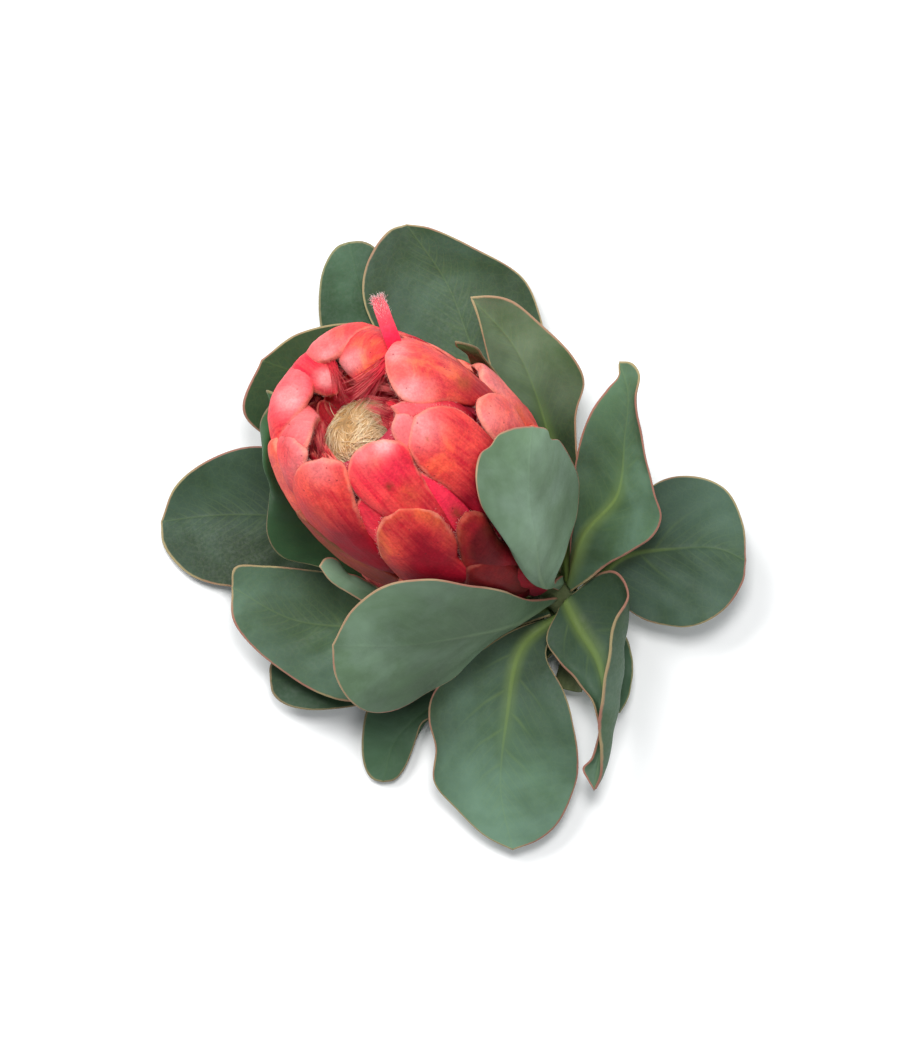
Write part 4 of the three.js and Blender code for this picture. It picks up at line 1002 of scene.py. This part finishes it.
# Bracts of the upper rows that show. Their pale touches are painted highlights and their deep ones crimson, in
# part painted shade.
upper_bracts = [
    bract(11, [(66, -54), (84, -56), (98.5, -50), (103.5, -46)], [(66, -34), (88.5, -34), (97, -31),
          (102.5, -32)], (107, -38), foot=-2.8, lift=-0.8, plump=1.2, warm=-0.4, deep=-0.3),
    bract(12, [(56, -12), (70.5, -16), (84.5, -10), (94, -7)], [(56, 8), (72, 2), (83, 4), (93.5, 3)],
          (103, -2), foot=-2.8, lift=-0.9, plump=1.0, warm=-0.8, deep=-0.6,
          touches=[(2, 9, 2.2, "stain", 0.8), (4, 6, 2, "stain", 0.6), (-2, 13, 3, "deep", 0.5)]),
    bract(13, [(72, -132), (95, -138), (110, -133), (118, -124)], [(72, -84), (98.5, -88), (104, -91),
          (109, -93), (118, -92), (122, -95)], (125, -108), foot=0.2, lift=1.4, warm=0.85, pale=0.3),
    bract(14, [(76, 60), (98, 60), (112, 64), (121, 69)], [(76, 104), (96, 94), (110, 88), (121, 85)],
          (126, 77), foot=-3.4, lift=-2.4, plump=0.8, warm=0.75, pale=0.3),
    bract(15, [(92, 18), (105, 24), (112, 20), (119, 16)], [(92, 48), (103, 47), (112.5, 38), (120.5, 28)],
          (124, 19), foot=-2.4, lift=0.0, plump=1.6, warm=-0.3, deep=0.05, pale=0.5),
    bract(16, [(78, 46), (88, 54), (98.5, 48), (106.5, 42), (114, 32), (120.5, 27), (125, 31), (129, 46)],
          [(82, 80), (92.5, 73), (99, 76), (106, 77), (113, 79.5), (118, 83), (122.5, 83), (126.5, 77)],
          (129.5, 63), lift=1.9, warm=0.6, pale=0.55, touches=[(-18, 60, 5, "pale", 0.9),
          (-15, 49, 7, "pale", 0.8), (-12, 54, 2.5, "pale", 0.8), (-9, 57, 4, "warm", 0.6),
          (0, 54, 6, "warm", 0.7), (4.5, 52, 2.2, "stain", 0.6), (-1, 61, 1.6, "deep", 0.8),
          (3, 59.5, 2, "deep", 0.9), (7.5, 50, 4, "deep", 0.4), (-5, 49.5, 0.8, "stain", 0.5)]),
    bract(17, [(70, -66), (80, -82), (89.5, -88), (98.5, -92), (107, -91), (117, -81), (123, -67)],
          [(70, -44), (76, -50), (89.5, -50), (100.5, -45), (109, -40), (116.5, -35), (121, -34)],
          (124.5, -47), foot=-1.0, lift=1.7, warm=0.25, rust=0.25, wrinkle=1.0,
          touches=[(-41.5, 25, 6, "pale", 0.9), (-36, 3, 8, "deep", 0.6), (-30, -5, 9, "deep", 0.9),
          (-44, 8, 5, "stain", 0.25), (-46, 18, 3, "warm", 0.4)]),
    bract(18, [(70, -32), (87.5, -33), (97.5, -34), (105, -37), (111, -38), (117.5, -34), (121.5, -24),
          (121.5, -12)], [(66, -14), (81, -9), (90.5, -6), (99, -3), (105.5, 0), (110, 4), (114, 4)],
          (119, -2), foot=-2.0, lift=1.5, plump=2.7, warm=0.05, touches=[(-22, 31.5, 3.5, "pale", 1.2),
          (-30, 26, 5, "pale", 0.7), (-25, 25.5, 3, "warm", 0.8), (-20, 17.3, 1.2, "stain", 1.0),
          (-14, 15, 4, "warm", 0.9), (-13, 15, 4, "stain", 0.25), (-8, 12, 3, "deep", 0.3),
          (-18, 23, 7, "warm", -0.6), (-26, 21, 5, "warm", -0.3)]),
    bract(19, [(68, 6), (70.5, 2), (80.5, 2), (91.5, 2), (99.5, 0), (106, 1), (111.5, 5), (114.5, 12)],
          [(68, 42), (78, 38), (86, 39), (93.5, 40), (101, 40), (107, 37), (112.5, 30)], (115.5, 21),
          foot=-0.8, lift=1.9, plump=2.9, warm=0.3, wrinkle=0.3, touches=[(-10, 38, 7, "pale", 0.9),
          (0, 32, 6, "warm", 0.5), (-6, 24, 5, "warm", 0.35), (6, 12, 5, "deep", 0.7),
          (-11, 36, 0.6, "stain", 0.6), (-7.6, 33.3, 0.7, "stain", 0.6), (-6, 36.7, 0.5, "stain", 0.5)]),
]
# Bracts of the innermost rows, curled in over the opening. Their pale touches are painted highlights and their
# deep ones crimson, in part painted shade.
inner_bracts = [
    bract(21, [(96, -4), (113, 2), (116.5, 3), (119.5, 7)], [(96, 24), (110.5, 22), (114, 22), (118, 21)],
          (121, 16), foot=-2.4, lift=0.6, plump=2.0, warm=-0.2, pale=0.9),
    bract(22, [(94, -114), (112, -116), (122.5, -113), (128, -106)], [(94, -70), (112, -70), (122, -69),
          (127, -66)], (130, -84), foot=-2.0, lift=0.4, plump=1.8, warm=0.1, deep=0.1, pale=0.8, dent=0.6),
    bract(23, [(96, 108), (114, 108), (122, 108), (127, 111)], [(96, 134), (114, 134), (124, 131),
          (128, 126)], (130, 118), foot=-1.4, lift=-0.2, plump=0.6, warm=-0.1, deep=0.1),
    bract(24, [(104, 164), (124, 163), (137, 161), (141.5, 164), (144, 172)], [(104, 200), (124, 200),
          (136, 203), (141, 200), (143.6, 192)], (144.6, 182), lift=1.6, plump=3.2, warm=-0.3, deep=0.15,
          touches=[(-41, 53, 3, "pale", 2.0)]),
    bract(25, [(108, -138), (126, -140), (134, -140), (139, -134)], [(108, -74), (124, -72), (131, -70),
          (136, -80)], (142, -112), foot=-2.2, lift=0.4, plump=2.0, warm=0.1, pale=0.7, thick=1.6),
    bract(26, [(112, 80), (122, 76), (129, 71), (134, 68), (139, 73), (143, 90)], [(112, 134), (122, 142),
          (131, 148), (137.5, 148), (141.8, 143), (144, 128)], (144.6, 110), foot=-4.2, lift=1.8, plump=2.8,
          warm=0.5, touches=[(-32.5, 59, 3.4, "pale", 2.2), (-27, 62, 5, "warm", 0.8),
          (-28, 58, 3, "warm", 0.8), (-23, 58.5, 1.8, "stain", 0.9), (-36, 56, 3, "pale", 0.8)]),
    bract(27, [(94, -176), (112, -184), (122, -190), (128, -194), (132.5, -193), (135.5, -182),
          (137, -168)], [(94, -116), (112, -108), (123, -106), (130, -104), (134, -110), (136.5, -122)],
          (138, -148), lift=1.9, plump=3.0, warm=-0.25, touches=[(-53, 47, 6, "pale", 1.0),
          (-51, 56, 4, "pale", 0.6), (-51.5, 37, 4.5, "deep", 0.7), (-58, 36, 3, "warm", 0.5)]),
    bract(28, [(94, 128), (112, 124), (124, 121), (129, 122), (132.5, 128), (135, 139)], [(94, 172),
          (112, 179), (124, 182), (129, 181), (133, 176)], (135.5, 158), lift=1.9, plump=3.0, warm=0.3,
          touches=[(-41, 63, 6, "pale", 1.0), (-32, 66, 4, "pale", 0.5), (-46, 59, 3, "warm", 0.8)]),
]
# The rows on the side that the flower lies on, by rule: nothing tells one bract there from the next.
HIDDEN_ROWS = [
    dict(root=8, tip=42, width=17, turns=range(0, 321, 40), lift=1.4, deep=1.7),
    dict(root=26, tip=62, width=22, turns=range(102, 263, 40), lift=1.4, deep=0.5),
    dict(root=44, tip=82, width=22, turns=range(122, 239, 38), lift=1.4, deep=0.1),
    dict(root=62, tip=102, width=22, turns=range(130, 227, 32), lift=0.2, deep=0.1),
    dict(root=80, tip=120, width=19, turns=range(122, 221, 32), lift=-1.6, deep=0.1),
]
# Their shape as shares of length and of half width.
HIDDEN_SHAPE = ((0, 0.7), (0.4, 0.95), (0.65, 1.0), (0.85, 0.8), (0.96, 0.45))
underside_bracts = []
for row in HIDDEN_ROWS:
    reach = row["tip"] - row["root"]
    for turn in row["turns"]:
        sides = [[(row["root"] + reach * share, turn + side * row["width"] * wide)
                  for share, wide in HIDDEN_SHAPE] for side in (-1, 1)]
        underside_bracts.append(bract(
            30 + turn + row["root"], *sides, (row["tip"], turn), lift=row["lift"],
            plump=1.4 + 0.8 * row["lift"], warm=0.6, deep=row["deep"], pale=0.3))
# Two rings of narrow bracts stand round the florets inside the cup, silky with hairs.
wall_line = smooth_line([(CUP_FLOOR, 19.4), (94, 20.2), (101, 19.2), (106, 17.2), (109.5, 14.6)])
outer_line = smooth_line([(CUP_FLOOR, 22.6), (96, 22.8), (105, 21.4), (110, 18.6)])
SHADED_TURN = 60  # those before this turn stand in the shade of the upper bracts, and are darker
standing_bracts = []
draw = np.random.default_rng(4)
for ring, first_turn, step in ((wall_line, 16, 19), (outer_line, 20, 21)):
    for turn in range(first_turn, 300, step):
        middle, tall = turn + draw.uniform(-3, 3), ring.length * draw.uniform(0.86, 1)
        sides = [[(tall * share, middle + side * half) for share, half in ((0, 13), (0.6, 14), (0.88, 9))]
                 for side in (-1, 1)]
        # Less crimson at the root paints the light that shines through the bracts round the cup; the crimson
        # added to those in the shade is painted shade.
        standing_bracts.append(bract(
            70 + turn, *sides, (tall, middle), foot=-0.4, lift=-0.4, plump=1.0, thick=0.9, line=ring,
            warm=-0.3, deep=draw.uniform(-0.9, -0.1) + (1.0 if turn < SHADED_TURN else 0.0)))

for label, parts in (("lower", lower_bracts), ("upper", upper_bracts), ("inner", inner_bracts),
                     ("underside", underside_bracts), ("standing", standing_bracts)):
    belongs(joined(f"bracts_{label}", parts, BRACT_MARKS, BRACT_SKIN), "bloom_bracts")

# The narrow bract that stands up at the far side of the opening: a thin trough of bright pink skin,
# with a tuft of silky hairs at its tip. It grows from the same row as the inner bracts.
UPRIGHT_SPINE = [(-15.5, 57, 90), (-18.5, 65, 97), (-21.5, 73, 99.5), (-24, 80, 100)]
UPRIGHT_HALF_WIDTH = 2.8
UPRIGHT_HALF_THICKNESS = 0.6
UPRIGHT_ACROSS = unit(np.array([0.93, 0.36, 0]))
UPRIGHT_TIP = 0.86  # where its rounded tip begins
UPRIGHT_TROUGH = 0.7

upright_line = smooth_line(UPRIGHT_SPINE)
u = np.linspace(0, 1, 34)[:, None]
v = np.sin(np.linspace(-math.pi / 2, math.pi / 2, 15))[None, :]
tip = np.sqrt(np.clip(1 - np.clip((u - UPRIGHT_TIP) / (1 - UPRIGHT_TIP), 0, 1) ** 2, 0, 1))
aside = UPRIGHT_HALF_WIDTH * (1 - 0.13 * u) * tip * v
trough = (0.1 * np.sin(7 * v + 3 * u) - UPRIGHT_TROUGH * (1 - v**2)) * tip
edge = UPRIGHT_HALF_THICKNESS * np.sqrt(np.clip(1 - v**6, 0, 1)) * tip
spine = upright_line(u[:, 0])[:, None, :]
front, back = (spine + aside[..., None] * UPRIGHT_ACROSS + (trough + rise)[..., None] * np.array([0, 0, 1])
               for rise in (edge, -edge))
flat = 0 * (u + v)
marks = np.stack([0.4 + 0.6 * u + flat, aside, 2 + flat], -1)
# Rose, crimson towards its root in part as painted shade, and pink towards its tip in part as a painted
# highlight.
tint = np.stack([-1 + flat, 0.9 * np.clip(0.5 - u, 0, 1) + flat, 0.5 * np.clip(u * 2 - 1, 0, 1) + flat], -1)
upright = make_piece("bract_upright", np.concatenate([front.reshape(-1, 3), back.reshape(-1, 3)]),
                     shell_faces(*front.shape[:2]), material=BRACT_SKIN,
                     attributes={label: np.tile(values.reshape(-1, 3), (2, 1))
                                 for label, values in (("bract", marks), ("tint", tint))})
belongs(upright, "bloom_bracts")

# The hairs: fine silky cilia along the rim of every bract, a pale tuft on the upright one, crimson silk in
# the cup, and long hairs that reach from the inner bracts towards the florets. They grow out of the skin.
HAIR_RISE = (0.4, 0.75, 0.95)  # how far up a hair its handles and its tip are, as shares of its length
HAIR_TIP_BEND = 2.2  # the tip's bend over that of its handle
HAIR_TIP_SHARE = 0.15  # the tip's thickness over the root's
HAIR_SIDES = 3
HAIR_UNEVEN = 0.2  # how much the lengths of hairs differ
CILIA_FROM = 0.45  # where the cilia begin, as a share of the way up a bract
TUFT_HAIRS = 420
SILK_PER_BRACT = 80
BEARD_COLUMNS = (0, 1, 2, 4, BRACT_COLUMNS - 5, BRACT_COLUMNS - 3, BRACT_COLUMNS - 2, BRACT_COLUMNS - 1)
FLORET_HEIGHT = 104.0  # height of the middle of the wool over the head's base
FLORET_ASIDE = -4.7  # how far the wool sits off the head's axis
floret_middle = HEAD_BASE + FLORET_HEIGHT * head_axis + FLORET_ASIDE * level_side


def hair_tree():
    """Grows a tapered hair on each root corner, along its way, bent toward a side, as long as its size."""
    hair = Growth("silky_hairs", "Hairs", Roots="Geometry", Slenderness="Float", Bend="Float", Steps="Int",
                  Seed="Int", Hair="Material")
    given = hair.given
    start_rise, handle_rise, tip_rise = HAIR_RISE
    handle = hair.node("ShaderNodeCombineXYZ", X=given["Bend"], Z=handle_rise).outputs[0]
    tip = hair.node("ShaderNodeCombineXYZ", X=hair.calc("MULTIPLY", given["Bend"], HAIR_TIP_BEND), Z=tip_rise)
    path = hair.node("GeometryNodeCurvePrimitiveBezierSegment", Start=(0, 0, 0), End=tip.outputs[0],
                     Start_Handle=(0, 0, start_rise), End_Handle=handle, Resolution=given["Steps"])
    along = hair.node("GeometryNodeSplineParameter").outputs["Factor"]
    marked = hair.node("GeometryNodeStoreNamedAttribute", Geometry=path.outputs["Curve"], Name="along_hair",
                       Value=along)
    taper = hair.node("ShaderNodeMapRange", Value=along, To_Min=given["Slenderness"],
                      To_Max=hair.calc("MULTIPLY", given["Slenderness"], HAIR_TIP_SHARE))
    strand = hair.tube(marked.outputs["Geometry"], taper.outputs["Result"], Resolution=HAIR_SIDES)
    way, toward = (hair.attribute(label, "FLOAT_VECTOR") for label in ("way", "toward"))
    aim = hair.node("FunctionNodeAlignRotationToVector", {"axis": "Z"}, Vector=way)
    lean = hair.node("FunctionNodeAlignRotationToVector", {"axis": "X", "pivot_axis": "Z"},
                     Rotation=aim.outputs["Rotation"], Vector=toward)
    chance = hair.node("FunctionNodeRandomValue", {"data_type": "FLOAT"}, Seed=given["Seed"])
    uneven = hair.node("ShaderNodeMapRange", Value=next(s for s in chance.outputs if s.type == "VALUE"),
                       To_Min=1 - HAIR_UNEVEN, To_Max=1 + HAIR_UNEVEN)
    points = hair.node("GeometryNodeMeshToPoints", Mesh=given["Roots"]).outputs["Points"]
    put = hair.node("GeometryNodeInstanceOnPoints", Points=points, Instance=strand,
                    Rotation=lean.outputs["Rotation"],
                    Scale=hair.calc("MULTIPLY", hair.attribute("size"), uneven.outputs["Result"]))
    return hair.ended(put.outputs["Instances"], "Hair")


HAIR_TREE = hair_tree()


def hair_finish(name, root_color, tip_color, other_tip):
    """Hair that runs from one colour at its root to a tip between two others, by its luck."""
    hair = Finish(name)
    tips = hair.blend(hair.fact("luck"), tip_color, other_tip)
    hair.look(Base_Color=hair.blend(hair.ramp(hair.fact("along_hair"), 0.0, 0.8), root_color, tips),
              Roughness=0.6, Specular_IOR_Level=0.12)
    return hair.material


def hairs(name, rows, *, slenderness, bend, steps, seed, finish, node="bloom_bracts",
          toward=None, luck=None):
    """A piece made of many fine hairs, from a root, a direction and a length in mm for each."""
    roots, ways, sizes = (np.array(column, float) for column in zip(*rows))
    free = np.random.default_rng(seed)
    toward = free.normal(0, 1, (len(roots), 3)) if toward is None else np.array(toward)
    luck = free.uniform(0, 1, len(roots)) if luck is None else luck
    piece = make_piece(name, roots, [], attributes={
        "way": unit(ways), "toward": unit(toward), "size": sizes / 1000, "luck": luck})
    grown(piece, HAIR_TREE, Slenderness=slenderness, Bend=bend, Steps=steps, Seed=seed, Hair=finish)
    belongs(piece, node)


draw = np.random.default_rng(11)
rim_hairs = []
for parts, gap, longest in ((lower_bracts, 0.4, 1.3), (upper_bracts, 0.35, 1.4), (inner_bracts, 0.35, 1.6),
                            (underside_bracts, 1.2, 0.9)):
    for each in parts:
        front, risen = each["front"], each["risen"]
        for side, inside in ((0, 3), (-1, -4)):
            edge, within = front[:, side], front[:, inside]
            lengths = lengths_along(edge)
            begin = np.interp(CILIA_FROM, risen[:, side], lengths)
            for way in np.arange(begin + draw.uniform(0, gap), lengths[-1], gap):
                here, behind = (np.array([np.interp(way, lengths, row[:, axis]) for axis in range(3)])
                                for row in (edge, within))
                outward = unit(here - behind) + head_axis * 0.35 + draw.normal(0, 0.3, 3)
                rim_hairs.append((here, outward, draw.uniform(0.4, longest)))
cilia_finish = hair_finish("cilia", (0.7, 0.2, 0.15), (0.9, 0.5, 0.42), (0.95, 0.76, 0.66))
hairs("bract_cilia", rim_hairs, slenderness=0.04, bend=0.12, steps=3, seed=3, finish=cilia_finish)

tuft_hairs = []
for _ in range(TUFT_HAIRS):
    share = 1 - abs(draw.normal(0, 0.12))
    aside = UPRIGHT_ACROSS * draw.uniform(-1, 1) * 0.7
    root = upright_line(share) + aside * UPRIGHT_HALF_WIDTH + np.array([0, 0, draw.uniform(-0.3, 0.5)])
    outward = np.array([-0.3, 1, 0.1]) + aside + draw.normal(0, 0.3, 3)
    tuft_hairs.append((root, outward, draw.uniform(1.0, 2.4)))
tuft_finish = hair_finish("tuft", (0.85, 0.12, 0.17), (0.93, 0.5, 0.5), (0.95, 0.8, 0.78))
hairs("upright_tuft", tuft_hairs, slenderness=0.03, bend=0.15, steps=4, seed=5, finish=tuft_finish)

silk_hairs, silk_luck = [], []
for each in standing_bracts:
    for _ in range(SILK_PER_BRACT):
        here = each["front"][draw.integers(14, BRACT_ROWS), draw.integers(1, BRACT_COLUMNS - 1)]
        inward = unit(floret_middle - here)
        upward = inward * 0.4 + head_axis + draw.normal(0, 0.14, 3)
        silk_hairs.append((here - inward * 0.3, upward, draw.uniform(3, 7)))
        silk_luck.append(draw.uniform(0, 1))
beard_hairs = []
for each, amount, rows_back in (
    (inner_bracts[3], 120, 12), (inner_bracts[4], 90, 12), (inner_bracts[5], 420, 15),
    (inner_bracts[7], 120, 10), (upper_bracts[5], 160, 12),
):
    for _ in range(amount):
        row = draw.integers(BRACT_ROWS - rows_back, BRACT_ROWS)
        here = each["front"][row, draw.choice(BEARD_COLUMNS)]
        aside = unit(here - floret_middle) * draw.uniform(8, 12)
        wool_rim = floret_middle + aside - head_axis * draw.uniform(0, 3)
        root = here - head_axis * 0.4 + draw.normal(0, 0.3, 3)
        inward = unit(wool_rim - here) + draw.normal(0, 0.16, 3)
        beard_hairs.append((root, inward, np.linalg.norm(wool_rim - here) * draw.uniform(0.5, 1.0)))
beard_finish = hair_finish("beard", (0.66, 0.03, 0.05), (0.42, 0.01, 0.03), (0.8, 0.16, 0.15))
hairs("inner_beards", beard_hairs, slenderness=0.014, bend=0.1, steps=4, seed=8, finish=beard_finish,
      toward=[head_axis] * len(beard_hairs))
silk_finish = hair_finish("silk", (0.34, 0.006, 0.022), (0.74, 0.05, 0.09), (0.86, 0.25, 0.2))
hairs("cup_silk", silk_hairs, slenderness=0.016, bend=0.14, steps=4, seed=7, finish=silk_finish,
      luck=silk_luck, toward=[floret_middle - root for root, way, size in silk_hairs])

# The florets: a dense dome of woolly cream styles packed in the cup, curled over one another and browned
# here and there. Their roots are fused in one cushion.
FLORET_DOME_RADIUS = 12.0
FLORET_TOP = 106.4
FLORET_WALL = 13.4
WOOL_DEPTH = 0.6  # how far the cushion lies inside the wool
FLORET_LOCKS = 120
FLORET_STRANDS = 15
DOME_SIDES = 48
GOLDEN_TURN = math.pi * (3 - math.sqrt(5))
CROWN = (-0.1, -0.15)  # the place on the dome that the wool is combed away from, as shares of its radius

dome_outline = [(CUP_FLOOR + SEAT_GAP, 0), (CUP_FLOOR + SEAT_GAP, FLORET_WALL + 0.6),
                (CUP_FLOOR + 6, FLORET_WALL)]
for angle in np.linspace(0, math.pi / 2, 10):
    dome_outline.append((FLORET_TOP - 11 + 8.5 * math.sin(angle),
                         (FLORET_DOME_RADIUS - WOOL_DEPTH) * math.cos(angle) ** 0.8))
dome_outline[-1] = (dome_outline[-1][0], 0)


def pinched(up, level):
    """Draws the dome's outline in where two tufts of wool meet."""
    off = (np.degrees(np.arctan2(level, up)) - 192 + 180) % 360 - 180
    share = np.minimum(np.hypot(up, level) / FLORET_DOME_RADIUS, 1)
    pull = 1 - 0.26 * share**2 * np.exp(-((off / 26) ** 2))
    return up * pull, level * pull


dome_corners, dome_faces = turned(dome_outline, DOME_SIDES)
dome_corners[:, 1], dome_corners[:, 2] = pinched(dome_corners[:, 1], dome_corners[:, 2])
dome_corners[:, 2] += FLORET_ASIDE
wool_base = Finish("wool_base")
wool_mottle = wool_base.noise(600, 4, 0.7)
wool_base.look(Base_Color=wool_base.blend(wool_mottle, (0.22, 0.11, 0.035), (0.5, 0.32, 0.14)), Roughness=0.9)
wool_base.bump(wool_mottle, 0.8, 0.0008)
cushion = make_piece("floret_cushion", in_head(*dome_corners.T[..., None]), dome_faces,
                     material=wool_base.material)
belongs(cushion, "florets")

strands, strand_towards, strand_luck = [], [], []
for index in range(FLORET_LOCKS):
    share = math.sqrt((index + 0.5) / FLORET_LOCKS)
    angle = index * GOLDEN_TURN
    across, along = share * math.cos(angle) - CROWN[0], share * math.sin(angle) - CROWN[1]
    swirl = math.atan2(along, across) + 0.7 + 0.8 * math.sin(3.1 * share + 2 * angle) + draw.normal(0, 0.35)
    lock_luck, lock_long = draw.uniform(0, 1), draw.uniform(0.75, 1.35)
    for _ in range(FLORET_STRANDS):
        up = (FLORET_DOME_RADIUS - 0.5) * share * math.cos(angle) + draw.normal(0, 0.55)
        level = (FLORET_DOME_RADIUS - 0.5) * share * math.sin(angle) + draw.normal(0, 0.55)
        out = min(math.hypot(up, level) / FLORET_DOME_RADIUS, 0.999)
        aside = (up * up_side + level * level_side) / FLORET_DOME_RADIUS
        normal = unit(head_axis * math.sqrt(1 - out**2) * 1.2 + aside)
        height = FLORET_TOP - 10 + 7.6 * math.sqrt(1 - out**2.4)
        up, level = pinched(up, level)
        root = in_head(height - 0.4, up, level + FLORET_ASIDE)
        combed = math.cos(swirl) * up_side + math.sin(swirl) * level_side
        way = unit(combed - normal * np.dot(combed, normal)) + normal * 0.75 + draw.normal(0, 0.16, 3)
        strand_towards.append(-normal + draw.normal(0, 0.25, 3))
        strands.append((root, way, draw.uniform(3, 5) * lock_long))
        strand_luck.append(np.clip(lock_luck**1.5 + draw.normal(0, 0.2), 0, 1))
strand_finish = hair_finish("floret_wool", (0.5, 0.28, 0.1), (1.0, 0.87, 0.6), (0.8, 0.5, 0.23))
hairs("floret_strands", strands, slenderness=0.042, bend=0.55, steps=7, seed=9, finish=strand_finish,
      node="florets", toward=strand_towards, luck=strand_luck)
